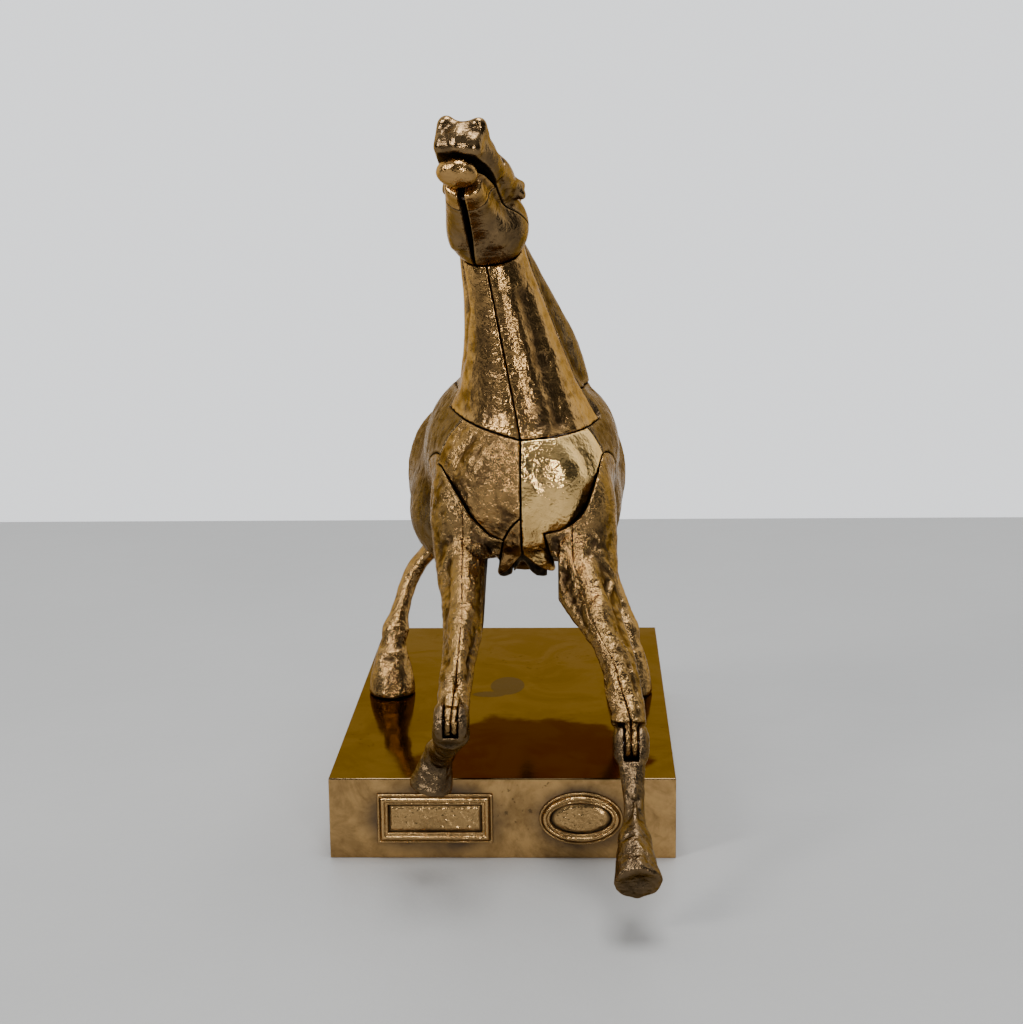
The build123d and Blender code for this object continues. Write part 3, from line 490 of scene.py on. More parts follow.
shanks.ball((61, -285, 38), (4.5, 6, 5), 2, -1)
shanks.ball((-50, -205, 69), (4.5, 6, 5), 2, -1)
shanks.chain(((74, -236, 72), (74.6, -262, 54), (76, -292, 42)), (1.5, 1.6, 1.2), 3)
shanks.v += CAST * 0.8

# ---- head, in its own frame along the face
LIE = np.array((-0.1045, -0.851, 0.515))
LIE /= np.linalg.norm(LIE)
ACROSS = np.array((0.99, -0.12, -0.087))
ACROSS -= LIE * (ACROSS @ LIE)
ACROSS /= np.linalg.norm(ACROSS)
UP = np.cross(LIE, ACROSS)
HEAD_AT = np.array((-8.0, -102.0, 364.0))
HEAD_TURN = np.stack([ACROSS, LIE, UP])


def at_head(along, across, up):
    return HEAD_AT + LIE * along + ACROSS * across + UP * up


def head_coords(x, y, z):
    p = (x - HEAD_AT[0], y - HEAD_AT[1], z - HEAD_AT[2])
    return [sum(axis[i] * p[i] for i in range(3)) for axis in (LIE, ACROSS, UP)]


def head_loft(field, rings, k):
    """A loft along the face: (place along, centre up, half width, half height)."""
    rings = [(s, 0, up, width, height) for s, up, width, height in rings]
    first, last = rings[0][0], rings[-1][0]
    ends = np.stack([at_head(s, t, n) for s in (first, last) for t in (-26, 26) for n in (-36, 26)])
    field.put(
        ends.min(0), ends.max(0), lambda x, y, z: loft_form(rings, *head_coords(x, y, z), 0.006), k,
    )


def head_box(field, centre, half, rounding, k, sign=1):
    """A rounded block in the head's own frame: (along, across, up)."""
    c, b = np.asarray(centre, float), np.asarray(half, float) - rounding

    def form(x, y, z):
        q = [np.abs(v - c[i]) - b[i] for i, v in enumerate(head_coords(x, y, z))]
        outside = np.sqrt(sum(np.maximum(v, 0) ** 2 for v in q))
        return outside + np.minimum(np.maximum(q[0], np.maximum(q[1], q[2])), 0) - rounding

    reach = float(np.linalg.norm(half))
    at = at_head(*centre)
    field.put(at - reach, at + reach, form, k, sign)


def head_ball(at, radii, k, sign=1):
    head.ball(at_head(*at), radii, k, sign, HEAD_TURN)


def head_chain(points, radii, k, sign=1):
    head.chain([at_head(*p) for p in points], radii, k, sign)


head = Field()
head_loft(
    head, ((-14, 3, 11, 12), (2, 2, 16, 20), (25, 2, 18, 18), (48, 2, 16, 14), (68, 2, 13.5, 11.5), (80, 1, 12, 10)), 4,
)
head_loft(
    head, ((2, -14, 13.5, 17), (12, -15, 16, 17), (30, -15, 15.5, 14), (50, -15, 12.5, 10), (66, -16, 10.5, 7.5)), 5,
)
head_box(head, (77, -1.0, 1.3), (14.5, 13.4, 11.0), 5.0, 4)
head_ball((58, 9.5, 0), (10.5, 25, 10), 6)  # cheek that shows beside the muzzle
head_ball((38, 13, 3), (9.5, 20, 10), 5)
for side, wide in ((1, 1.0), (-1, 0.76)):
    t = side * wide
    head_ball((27, t * 20.5, 4.5), (5.2, 8.0, 5.2), 3)  # brow and eye
    head_ball((26, t * 25.0, 1.5), (2.4, 4.0, 2.8), 1.2)  # eyeball
    head_chain(((19, t * 21, 8), (27, t * 24, 7.5), (35, t * 20, 5)), (1.8, 2.0, 1.4), 1.6)  # lid
    head_chain(((82, side * 9.5, 7.5), (88, side * 9, 9.0), (80, side * 7, 10)), (3.8, 3.2, 3.0), 3)  # nostril rim
    head_chain(((40, t * 17, 1), (62, t * 13.5, -1)), (3.0, 2.2), 4)  # cheek ridge
    head_chain(((-2, side * 10, 14), (-12, side * 12, 19), (-24, side * 13, 19)), (5.5, 4.6, 1.4), 4)  # ear
    head_ball((-14, side * 14, 22), (2.4, 8, 3), 2, -1)
    head_ball((92.5, side * 9.5, 3.5), (3.2, 2.6, 2.6), 2.4, -1)  # nostril
    head_chain(((18, t * 22, -6), (40, t * 20, -6), (54, t * 17, -5)), (1.3, 1.6, 1.2), 3, -1)
    head_chain(((56, t * 17, 5), (74, t * 15.5, 6)), (2.0, 1.6), 4, -1)
head_ball((13, -8.0, -17), (7.8, 18, 14.5), 5)  # jowls
head_ball((14, 12.5, -17), (9.6, 19, 15), 5)
head_chain(((60, 4, 15), (92, -1, 14.8)), (4.6, 4.0), 4, -1)  # dip along the nose
head_ball((91, -1, -2), (4.0, 3.0, 7.0), 4)  # upper lip
head_ball((79, -1, -16), (11.6, 10.0, 7.2), 3)  # chin
head.v += CAST * 0.5

# ---- materials
def node_material(name):
    """A material with one principled shader. Returns it, the helper for its nodes and the shader."""
    mat = bpy.data.materials.new(name)
    mat.use_nodes = True
    nt = mat.node_tree
    nt.nodes.clear()
    out = nt.nodes.new("ShaderNodeOutputMaterial")
    bsdf = nt.nodes.new("ShaderNodeBsdfPrincipled")
    nt.links.new(bsdf.outputs["BSDF"], out.inputs["Surface"])
    return mat, Nodes(nt), bsdf


class Nodes:
    """Short helpers for building a node tree."""

    def __init__(self, nt, coord="Object"):
        self.nt = nt
        self.coord = nt.nodes.new("ShaderNodeTexCoord").outputs[coord]

    def link(self, value, socket):
        if hasattr(value, "is_output"):
            self.nt.links.new(value, socket)
        else:
            socket.default_value = value

    def noise(self, scale, detail=4.0, rough=0.55, distort=0.0):
        n = self.nt.nodes.new("ShaderNodeTexNoise")
        for key, v in (("Scale", scale), ("Detail", detail), ("Roughness", rough), ("Distortion", distort)):
            n.inputs[key].default_value = v
        self.nt.links.new(self.coord, n.inputs["Vector"])
        return n.outputs["Fac"]

    def ramp(self, value, low, high, a=0.0, b=1.0):
        n = self.nt.nodes.new("ShaderNodeMapRange")
        n.interpolation_type = "SMOOTHSTEP"
        for key, v in (("Value", value), ("From Min", low), ("From Max", high), ("To Min", a), ("To Max", b)):
            self.link(v, n.inputs[key])
        return n.outputs["Result"]

    def math(self, op, a, b=0.0):
        n = self.nt.nodes.new("ShaderNodeMath")
        n.operation = op
        self.link(a, n.inputs[0])
        self.link(b, n.inputs[1])
        return n.outputs[0]

    def mul(self, a, b):
        return self.math("MULTIPLY", a, b)

    def add(self, a, b):
        return self.math("ADD", a, b)

    def mix(self, fac, a, b):
        n = self.nt.nodes.new("ShaderNodeMix")
        n.data_type = "RGBA"
        self.link(fac, n.inputs["Factor"])
        self.link((*a, 1) if isinstance(a, tuple) else a, n.inputs["A"])
        self.link((*b, 1) if isinstance(b, tuple) else b, n.inputs["B"])
        return n.outputs["Result"]

    def attribute(self, name):
        n = self.nt.nodes.new("ShaderNodeAttribute")
        n.attribute_name = name
        return n.outputs["Fac"]

    def place(self, axis):
        n = self.nt.nodes.new("ShaderNodeSeparateXYZ")
        self.nt.links.new(self.coord, n.inputs[0])
        return n.outputs[axis]

    def bump(self, height, strength, distance, normal=None):
        n = self.nt.nodes.new("ShaderNodeBump")
        n.inputs["Strength"].default_value = strength
        n.inputs["Distance"].default_value = distance
        self.nt.links.new(height, n.inputs["Height"])
        if normal is not None:
            self.nt.links.new(normal, n.inputs["Normal"])
        return n.outputs["Normal"]

    def dress(self, bsdf, colour, metallic, rough, normal, tint=(1.0, 1.0, 1.0, 1.0)):
        for key, v in (
            ("Base Color", colour), ("Metallic", metallic), ("Roughness", rough), ("Specular Tint", tint),
            ("Normal", normal),
        ):
            self.link(v, bsdf.inputs[key])


EDGE_TINT = (0.60, 0.46, 0.32, 1.0)  # what a patinated surface reflects at a grazing angle
PLINTH_TINT = (0.50, 0.41, 0.32, 1.0)


def bronze(name, gold, brown, dark, polish=0.30, rough_add=0.16, tarnish=0.5, pits=0.5, hammer=0.5, sculpted=True):
    """Cast bronze: gold where it is rubbed, brown between, dark in hollows and along seams."""
    mat, k, bsdf = node_material(name)
    broad = k.ramp(k.noise(28, 5, 0.6, 0.4), 0.35, 0.66)
    streak = k.ramp(k.noise(60, 6, 0.65, 0.8), 0.42, 0.62)
    stain = k.mul(k.add(k.mul(broad, 0.6), k.mul(streak, 0.4)), tarnish)
    if sculpted:
        worn = k.ramp(k.attribute("wear"), -0.25, 0.25, 0.55, -0.35)
        stain = k.add(stain, worn)
    stain = k.ramp(stain, 0.0, 1.0)
    colour = k.mix(stain, gold, brown)
    speck = k.ramp(k.noise(420, 3, 0.7), 0.60, 0.70)
    patch = k.ramp(k.noise(34, 3, 0.5), 0.48, 0.62)
    pit = k.mul(k.mul(speck, patch), pits)
    colour = k.mix(pit, colour, dark)
    if sculpted:
        hollow = k.ramp(k.attribute("wear"), -0.75, -0.18, 1.0, 0.0)
        colour = k.mix(k.mul(hollow, 0.85), colour, dark)
        seam = k.ramp(k.attribute("seam"), 0.05, 0.55, 1.0, 0.0)
        grime = k.mul(seam, k.ramp(k.noise(90, 3, 0.6), 0.3, 0.6, 0.75, 1.0))
        colour = k.mix(grime, colour, (0.012, 0.009, 0.006))
    rough = k.add(k.mul(stain, rough_add), polish)
    rough = k.add(rough, k.mul(k.noise(210, 4, 0.6), 0.10))
    rough = k.add(rough, k.mul(pit, 0.2))
    if sculpted:
        rough = k.add(rough, k.mul(grime, 0.35))
    n1 = k.bump(k.noise(95, 3, 0.55, 0.1), 0.75 * hammer, 0.0055)
    n2 = k.bump(k.noise(330, 4, 0.6, 0.0), 0.70 * hammer, 0.0018, n1)
    craters = k.mul(k.ramp(k.noise(300, 2, 0.5), 0.55, 0.72), patch)
    k.dress(bsdf, colour, 1.0, rough, k.bump(craters, -0.45 * pits, 0.0012, n2), EDGE_TINT)
    return mat


GOLD, BROWN, DARK = (0.42, 0.245, 0.088), (0.135, 0.080, 0.035), (0.018, 0.012, 0.007)
UMBER, GREY = (0.013, 0.010, 0.007), (0.05, 0.034, 0.018)
MATERIALS = {
    key: bronze(key.replace("_", " "), *look)
    for key, look in {
        "aged_bronze": (GOLD, BROWN, DARK, 0.12, 0.12, 0.85, 0.5, 0.45),
        "head_bronze": ((0.23, 0.145, 0.066), (0.085, 0.054, 0.028), DARK, 0.12, 0.12, 0.8, 0.5, 0.4),
        "pitted_bronze": ((0.44, 0.26, 0.095), (0.095, 0.055, 0.024), DARK, 0.12, 0.14, 0.8, 0.9, 0.9),
        "foreleg_bronze": ((0.28, 0.170, 0.066), (0.080, 0.048, 0.022), DARK, 0.12, 0.14, 0.85, 0.9, 0.9),
        "polished_bronze": ((0.88, 0.58, 0.22), (0.42, 0.26, 0.095), DARK, 0.10, 0.10, 0.5, 0.15, 0.4),
        "dark_bronze": ((0.14, 0.092, 0.048), (0.05, 0.034, 0.020), UMBER, 0.13, 0.16, 0.75, 0.7, 0.8),
        "body_bronze": ((0.165, 0.112, 0.060), (0.060, 0.040, 0.024), DARK, 0.17, 0.14, 0.8, 0.5, 0.9),
        "leg_bronze": ((0.34, 0.205, 0.080), (0.075, 0.045, 0.020), DARK, 0.12, 0.14, 0.9, 0.6, 0.7),
        "moulding": ((0.50, 0.31, 0.125), (0.20, 0.12, 0.048), GREY, 0.18, 0.18, 0.5, 0.8, 0.35),
        "frame_bronze": (
            (0.40, 0.26, 0.13), (0.20, 0.125, 0.065), (0.05, 0.035, 0.02), 0.3, 0.2, 0.6, 0.6, 0.5, False,
        ),
    }.items()
}


def plinth_material():
    mat, k, bsdf = node_material("plinth bronze")
    top = k.ramp(k.place(2), 0.0470, 0.0478)
    mottle = k.ramp(k.noise(26, 6, 0.68, 0.9), 0.38, 0.62)
    fine = k.ramp(k.noise(130, 4, 0.6, 0.3), 0.4, 0.66)
    cloudy = k.add(k.mul(mottle, 0.7), k.mul(fine, 0.3))
    front = k.mix(cloudy, (0.55, 0.335, 0.130), (0.24, 0.142, 0.055))
    smooth = k.mix(mottle, (0.160, 0.108, 0.056), (0.135, 0.088, 0.043))
    colour = k.mix(top, front, smooth)
    spot = k.mul(k.ramp(k.noise(260, 2, 0.6), 0.64, 0.70), k.ramp(k.noise(18, 3, 0.5), 0.5, 0.65))
    colour = k.mix(k.mul(spot, 0.6), colour, (0.05, 0.035, 0.022))
    x, y, z = k.place(0), k.place(1), k.place(2)

    def oval(cx, cy, rx, ry, a, b, wobble=0.0):
        """1 inside an oval and 0 outside, faded from a share a of its radius; wobble frays the edge."""
        dx = k.math("DIVIDE", k.math("SUBTRACT", x, cx), rx)
        dy = k.math("DIVIDE", k.math("SUBTRACT", b, cy), ry)
        d = k.math("SQRT", k.add(k.mul(dx, dx), k.mul(dy, dy)))
        if wobble:
            d = k.add(d, k.mul(k.math("SUBTRACT", k.noise(24, 4, 0.55), 0.5), wobble))
        return k.ramp(d, a, 1.0, 1.0, 0.0)

    # a grey drop-shaped painted reflection with a duller finish, a painted shadow and reflection of the horse at the
    # front of the top, and patina round the plaques
    blot, tail = oval(-0.0035, 0.018, 0.0115, 0.0215, 0.95, y), oval(-0.0150, -0.002, 0.0115, 0.0070, 0.9, y)
    painted_reflection_drop = k.mul(k.math("MAXIMUM", blot, tail), top)
    # painted shadow and dark reflection of the horse's body, laid on the front of the plinth's top
    patch = oval(0.018, -0.130, 0.070, 0.086, 0.84, y, 0.9)
    colour = k.mix(k.mul(patch, k.mul(top, k.ramp(mottle, 0.0, 1.0, 0.95, 0.85))), colour, (0.030, 0.018, 0.006))
    # painted reflection: the grey drop laid into the top's colour
    colour = k.mix(k.mul(painted_reflection_drop, 0.85), colour, (0.075, 0.062, 0.050))
    is_front = k.ramp(y, -0.1698, -0.1694, 1.0, 0.0)
    left, right = oval(-0.0387, 0.0241, 0.049, 0.026, 0.62, z), oval(0.0455, 0.0241, 0.035, 0.0235, 0.62, z)
    halo = k.mul(k.math("MAXIMUM", left, right), is_front)
    halo = k.mul(halo, k.ramp(k.noise(50, 4, 0.6), 0.3, 0.7, 0.55, 1.0))
    colour = k.mix(halo, colour, (0.085, 0.06, 0.042))
    rough = k.add(k.mul(k.ramp(k.noise(16, 5, 0.6, 0.6), 0.3, 0.7), 0.05), 0.07)
    side_rough = k.add(k.mul(fine, 0.14), 0.30)
    n = k.nt.nodes.new("ShaderNodeMix")
    for key, value in (("Factor", top), ("A", side_rough), ("B", rough)):
        k.link(value, n.inputs[key])
    rough = k.add(n.outputs["Result"], k.mul(painted_reflection_drop, 0.16))
    n1 = k.bump(k.noise(14, 2, 0.5), 0.05, 0.004)
    k.dress(bsdf, colour, 1.0, rough, k.bump(k.noise(220, 3, 0.6), 0.05, 0.0006, n1), PLINTH_TINT)
    return mat


def plain(name, colour, dark, metallic, rough, scale):
    mat, k, bsdf = node_material(name)
    f = k.noise(scale, 4, 0.6)
    uneven = k.bump(k.noise(scale * 4, 3, 0.6), 0.2, 0.0006)
    k.dress(bsdf, k.mix(k.ramp(f, 0.3, 0.7), colour, dark), metallic, k.ramp(f, 0.2, 0.8, rough, rough + 0.12), uneven)
    return mat


MATERIALS["plinth_bronze"] = plinth_material()
MATERIALS["steel"] = plain("turned steel", (0.48, 0.48, 0.49), (0.36, 0.36, 0.38), 1.0, 0.28, 160)
MATERIALS["base_board"] = plain("felted board", (0.030, 0.036, 0.030), (0.02, 0.024, 0.02), 0.0, 0.85, 300)

# ---- cutting the pieces out of the masses
def sphere(radius):
    return lambda x, y, z: np.sqrt((x - PIVOT[0]) ** 2 + (y - PIVOT[1]) ** 2 + (z - PIVOT[2]) ** 2) - radius


def along_neck(x, y, z):
    """How far a point lies beyond the pivot, along the neck's axis."""
    return HEAD_AXIS[0] * (x - PIVOT[0]) + HEAD_AXIS[1] * (y - PIVOT[1]) + HEAD_AXIS[2] * (z - PIVOT[2])


def bar_x(knee, radius):
    """A round bar along x through a knee."""
    return lambda x, y, z: np.sqrt((y - knee[1]) ** 2 + (z - knee[2]) ** 2) - radius + 0 * x


def wall_of(v):
    """The hollow casting's wall inside a mass."""
    return np.maximum(v, -(v + WALL))


def all_of(*parts):
    out = parts[0]
    for p in parts[1:]:
        out = np.maximum(out, p)
    return out


def everywhere(x, y, z):
    return -60.0 + 0 * (x + y + z)


def above_base(x, y, z):
    return BASE_H + 0.05 - z + 0 * x + 0 * y


def carve(
    node, body, field, low, high, region, slot="aged_bronze", look=None, level=1, solid=False, extra=None, rounds=2,
    soft=0.6, grime=None, name=None,
):
    """Meshes one casting: the mass within its region, with softened edges. Grime gathers along the region's
    border, or along that of a grime region. look is its material, where that isn't the slot's own."""
    v, start, h = field.fine(low, high, level)
    x, y, z = np.meshgrid(*(start[i] + h * np.arange(v.shape[i]) for i in range(3)), indexing="ij", sparse=True)
    if not solid:
        v = wall_of(v)
    if extra:
        v = extra(v, x, y, z)
    r = region(x, y, z)
    v = smax(v, r + 0 * v, soft).astype(np.float32)
    v[[0, -1]] = 9
    v[:, [0, -1]] = 9
    v[:, :, [0, -1]] = 9
    points, quads = surface(v, start, h)
    points = relax(points, quads, rounds)
    obj = mesh_object(name or f"{node}_cast", points, quads, MATERIALS[look or slot])
    normals = np.empty(len(points) * 3, np.float32)
    obj.data.vertices.foreach_get("normal", normals)
    normals = normals.reshape(-1, 3)
    smooth, (edges, degree) = points, mesh_edges(quads, len(points))
    for _ in range(10):
        smooth = neighbour_mean(smooth, edges, degree)
    wear = np.einsum("ij,ij->i", points - smooth, normals)
    store(obj, wear, np.clip(-(grime or region)(points[:, 0], points[:, 1], points[:, 2]), 0, 6))
    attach(obj, body)
    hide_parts(node)


def behind_chest(y):
    return (CHEST_BACK_Y + SEAM / 2) - y


def pocket(side, x, y, z, grow):
    """The round pocket in a shoulder that takes the foreleg's top."""
    near = CHEST_X + side * (POCKET_HALF - grow)
    disc = np.sqrt((y - SHOULDER_Y) ** 2 + (z - SHOULDER_Z) ** 2) - SHOULDER_R - grow
    return np.maximum(disc, side * (near - x))


def outline_at(key, x, z):
    return polygon(OUTLINES[key], x, z)


def neck_room(x, y, z):
    """The space of both front neck castings, as seen by the body."""
    front = np.minimum(outline_at("neck_left", x, z), outline_at("neck_right", x, z))
    return np.maximum(front - SEAM / 2, y - (NECK_BACK_Y + SEAM / 2))


def body_region(side):
    def region(x, y, z):
        return all_of(
            side * (BODY_X - x) + SEAM / 2, behind_chest(y), -pocket(side, x, y, z, SEAM), -neck_room(x, y, z),
            -np.minimum(CREST_Z - z, 10 - y),
        )

    return region


def belly_closed(v, x, y, z):
    """Hollows the body, except for the solid web at the bottom of its front end."""
    web = np.maximum(y + 94, z - 178 + 0 * x)
    return np.maximum(v, -np.maximum(v + WALL, -web))


torso = Field()
torso.v = np.maximum(horse.v, -(hind.v - SEAM)).astype(np.float32)
for side, name in ((1, "left"), (-1, "right")):
    low = (BODY_X if side > 0 else -68, -120, 128)
    high = (80 if side > 0 else BODY_X, 136, 282)
    carve(
        f"body_{name}", "stand", torso, low, high, body_region(side), look="body_bronze", solid=True,
        extra=belly_closed,
    )
    low = (30 if side > 0 else -97, -18, 47)
    high = (95 if side > 0 else -24, 62, 186)
    carve(f"hind_leg_{name}", "stand", hind, low, high, above_base, look="leg_bronze", solid=True)


def front_region(key, y_back=CHEST_BACK_Y, gap=0.42):
    """In front of a back plane and within an outline, less a gap."""
    return lambda x, y, z: np.maximum(outline_at(key, x, z) + gap, y - (y_back - SEAM / 2))


carve(
    "chest_plate_left", "chest_left", horse, (8, -156, 138), (66, -112, 262), front_region("chest_left"),
    slot="polished_bronze", level=2, solid=True, soft=1.0, grime=front_region("chest_left", gap=-0.4),
    name="chest_left_cast",
)
carve(
    "chest_plate_right", "chest_right", horse, (-62, -156, 176), (16, -112, 262), front_region("chest_right"),
    look="pitted_bronze", level=2, soft=1.0, name="chest_right_cast",
)
carve(
    "sternum_wedge_right", "sternum", horse, (-6, -156, 138), (16, -112, 202), front_region("sternum"),
    level=2, solid=True, soft=0.8, name="sternum_cast",
)


def below_head(x, y, z):
    return np.maximum(along_neck(x, y, z) + 10.0, -sphere(BALL_R + SEAM)(x, y, z))


def neck_region(key):
    front = front_region(key, NECK_BACK_Y, SEAM / 2)
    return lambda x, y, z: np.maximum(front(x, y, z), below_head(x, y, z))


def crest_region(x, y, z):
    return all_of((NECK_BACK_Y + SEAM / 2) - y + 0 * x, CREST_Z + SEAM - z, y - 9.4, below_head(x, y, z))


for side, low, high in (("left", (-22, -146, 234), (66, -88, 358)), ("right", (-62, -146, 234), (16, -88, 358))):
    carve(
        f"neck_front_{side}", "stand", horse, low, high, neck_region(f"neck_{side}"), name=f"neck_{side}_cast",
    )
carve("neck_crest", "stand", horse, (-40, -94, 258), (60, 12, 372), crest_region, look="body_bronze", name="crest_cast")

# ---- head pieces
JAW_LEVEL, CHIN_FROM = -8.0, 52.0


def with_ball(v, x, y, z):
    """The head above its collar, joined to the ball it turns on."""
    v = smax(v, -9.0 - along_neck(x, y, z), 3.0)
    return smin(v, sphere(BALL_R)(x, y, z), 2.0)


def skull_region(x, y, z):
    s, t, n = head_coords(x, y, z)
    return (JAW_LEVEL + SEAM / 2) - n - np.clip((s - 76) / 12, 0, 1) * 1.6


def jaw_region(side):
    def region(x, y, z):
        s, t, n = head_coords(x, y, z)
        slot = 0.6 + 1.1 * np.clip((s - 4) / 30, 0, 1) * np.clip((-18 - n) / 6, 0, 1)
        return all_of(slot - side * t, s - CHIN_FROM - 0 * t, n - (JAW_LEVEL - SEAM / 2))

    return region


def chin_region(x, y, z):
    s, t, n = head_coords(x, y, z)
    top = n - (JAW_LEVEL - SEAM) + np.clip((s - 52) / 24, 0, 1) * 2.6 + 0 * t
    slot = np.minimum(np.minimum(1.8 - np.abs(t), 67 - s), -15.5 - n)
    return np.maximum(np.maximum(CHIN_FROM + SEAM - s, top), slot)


for node, low, high, region in (
    ("skull", (-40, -194, 330), (26, -66, 432), skull_region),
    ("jaw_left", (-34, -168, 330), (22, -88, 396), jaw_region(1)),
    ("jaw_right", (-36, -168, 330), (8, -88, 396), jaw_region(-1)),
):
    carve(node, "head", head, low, high, region, look="head_bronze", level=2, solid=True, extra=with_ball, rounds=3)
carve("chin", "head", head, (-36, -192, 360), (6, -142, 402), chin_region, level=2, solid=True, rounds=3)

# ---- forelegs
TONGUE_HALF, SLOT_HALF, FORK_HALF = 3.8, 4.2, 9.4
TONGUE_R, SLOT_R, FORK_R, PIN_R, KNEE_CLEAR = 8.6, 9.4, 11.0, 2.3, 1.2


def flat_bar(knee, angle, x, y, z, length, half_width, half_thick):
    """A flat bar from a knee, at an angle about x."""
    c, s = math.cos(math.radians(angle)), math.sin(math.radians(angle))
    along = (y - knee[1]) * c + (z - knee[2]) * s
    across = -(y - knee[1]) * s + (z - knee[2]) * c
    return all_of(np.abs(x - knee[0]) - half_width, np.abs(across) - half_thick + 0 * x, -along, along - length)


def turned_field(knee, degrees, x, y, z):
    """Where a point was before the lower leg turned about its knee."""
    a = math.radians(-degrees)
    c, s = math.cos(a), math.sin(a)
    dy, dz = y - knee[1], z - knee[2]
    return x, knee[1] + dy * c - dz * s, knee[2] + dy * s + dz * c


def loft_distance(rings, axis, x, y, z):
    """A quick distance to one of the shank lofts, for cutting clearances."""
    q, beyond, half = loft_share(rings, *((y, x, z) if axis == 1 else (z, x, y)))
    return np.maximum((q - 1) * half * 0.75, beyond)


# name, side, knee, forearm's slope, knee's range, shank's loft and axis, inner ply, castings in front, and the
# boxes round the forearm and the shank
LEGS = (
    (
        "left", 1, LEFT_KNEE, 48.5, (-15, 15), LEFT_SHANK, 2, LEFT_PLY, ("chest_left",),
        ((24, -232, 70), (86, -72, 230)), ((58, -300, 14), (92, -200, 100)),
    ),
    (
        "right", -1, RIGHT_KNEE, 28.5, (-60, 10), RIGHT_SHANK, 1, RIGHT_PLY, ("chest_right", "sternum"),
        ((-48, -262, 90), (2, -72, 230)), ((-54, -262, 44), (-8, -184, 122)),
    ),
)
for name, side, knee, angle, bend, shank, axis, ply, keys, arm_box, shank_box in LEGS:

    def upper(v, x, y, z):
        room = np.minimum(pocket(side, x, y, z, 0), np.maximum(y - (CHEST_BACK_Y - SEAM), z - 227.0 + 0 * x))
        v = np.maximum(v, room)
        v = smax(v, -(bar_x(knee, FORK_R + KNEE_CLEAR)(x, y, z)), 1.0)
        for b in (bend[0], 0, bend[1]):
            v = smax(v, KNEE_CLEAR - loft_distance(shank, axis, *turned_field(knee, b, x, y, z)), 0.8)
        tongue = np.maximum(bar_x(knee, TONGUE_R)(x, y, z), np.abs(x - knee[0]) - TONGUE_HALF)
        tongue = np.minimum(tongue, flat_bar(knee, angle, x, y, z, 17, TONGUE_HALF, 6.5))
        v = smin(v, tongue, 0.8)
        return np.maximum(v, -bar_x(knee, PIN_R)(x, y, z))

    def chest_free(x, y, z):
        front = np.minimum(outline_at(keys[0], x, z), outline_at(keys[-1], x, z))
        keel = all_of(np.abs(x - CHEST_X) - 21, y + 98, z - 172)
        return np.maximum(-np.maximum(front - SEAM / 2, y - (CHEST_BACK_Y + SEAM / 2)), -keel)

    def inner(x, y, z):
        closed = np.clip((z - knee[2] - 22) / 14, 0, 1)
        return np.maximum(polygon(ply, x, z) + 0.06 - 0.7 * closed, chest_free(x, y, z))

    def outer(x, y, z):
        return np.maximum(0.06 - polygon(ply, x, z), chest_free(x, y, z))

    for half, region in (("inner", inner), ("outer", outer)):
        carve(
            f"foreleg_{name}_{half}", f"foreleg_{name}", arms, *arm_box, region, look="foreleg_bronze", solid=True,
            extra=upper, soft=0.25, grime=chest_free,
        )

    def lower(v, x, y, z):
        fork = bar_x(knee, FORK_R)(x, y, z)
        fork = smax(fork, np.abs(x - knee[0]) - FORK_HALF, 6.0)
        v = smin(v, fork, 3.0)
        slot = np.maximum(bar_x(knee, SLOT_R)(x, y, z), np.abs(x - knee[0]) - SLOT_HALF)
        for direction in (angle - bend[1], angle, angle - bend[0], 0.5 * (angle - bend[0] + 170), 170):
            slot = np.minimum(slot, flat_bar(knee, direction, x, y, z, 34, SLOT_HALF, 7.4))
        return smax(v, -slot, 0.6)

    carve(
        f"lower_leg_{name}", f"shank_{name}", shanks, *shank_box, everywhere, slot="dark_bronze", level=2, solid=True,
        extra=lower,
    )

# ---- tail
tail = Field()
TAIL = ((238, 5, 112, 6, 9), (222, 5, 132, 8.5, 9), (200, 5, 142, 9, 8), (172, 5, 144, 8, 7), (148, 5, 146, 4, 4))
tail.loft(TAIL, 2, 3)
for i in range(5):
    tail.chain(((1 + 2 * i, 141, 226), (1.5 + 1.8 * i, 151, 196), (2.5 + 1.2 * i, 151, 160)), (0.8, 1.0, 0.6), 1.6, -1)
tail.v = np.maximum(tail.v, SEAM / 2 - horse.v).astype(np.float32)
carve("tail", "stand", tail, (-8, 100, 144), (18, 156, 242), everywhere, look="body_bronze", solid=True)

# ---- mouldings and panels on the plinth's front
# the moulding's profile: inset from the outer edge, and height over the plinth's front
PROFILE = (
    (0.0, 0.0), (0.0, 1.2), (0.35, 1.75), (0.9, 1.95), (1.35, 1.7), (1.6, 1.15), (1.9, 1.1), (2.15, 1.8), (2.6, 2.9),
    (3.3, 3.35), (4.0, 3.2), (4.45, 2.6), (4.7, 1.9), (5.0, 1.85), (5.35, 2.15), (5.8, 2.1), (6.2, 1.6), (6.6, 1.0),
    (6.62, 0.0),
)


def moulding(name, node, loop, steps):
    """Sweeps the moulding round a loop. loop(t, u) gives x, z at a share of the way round and an inset."""
    shares = np.linspace(0, 1, steps, endpoint=False)
    points, seams = [], []
    for t in shares:
        for u, w in PROFILE:
            x, z = loop(t, u)
            points.append((x, -BASE_D / 2 - w, z))
            seams.append(0.0 if w < 0.1 else (0.25 if w < 1.2 else 2.0))
    m, n = len(shares), len(PROFILE)
    quads = [
        (i * n + j, i * n + (j + 1) % n, (i + 1) % m * n + (j + 1) % n, (i + 1) % m * n + j)
        for i in range(m) for j in range(n)
    ]
    points = np.array(points) + RNG.normal(0, 0.025, (len(points), 3))
    obj = mesh_object(name, points, np.array(quads)[:, ::-1], MATERIALS["moulding"])
    store(obj, [(w - 1.9) * 0.25 for _ in shares for _, w in PROFILE], seams)
    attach(obj, "stand")
    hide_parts(node)


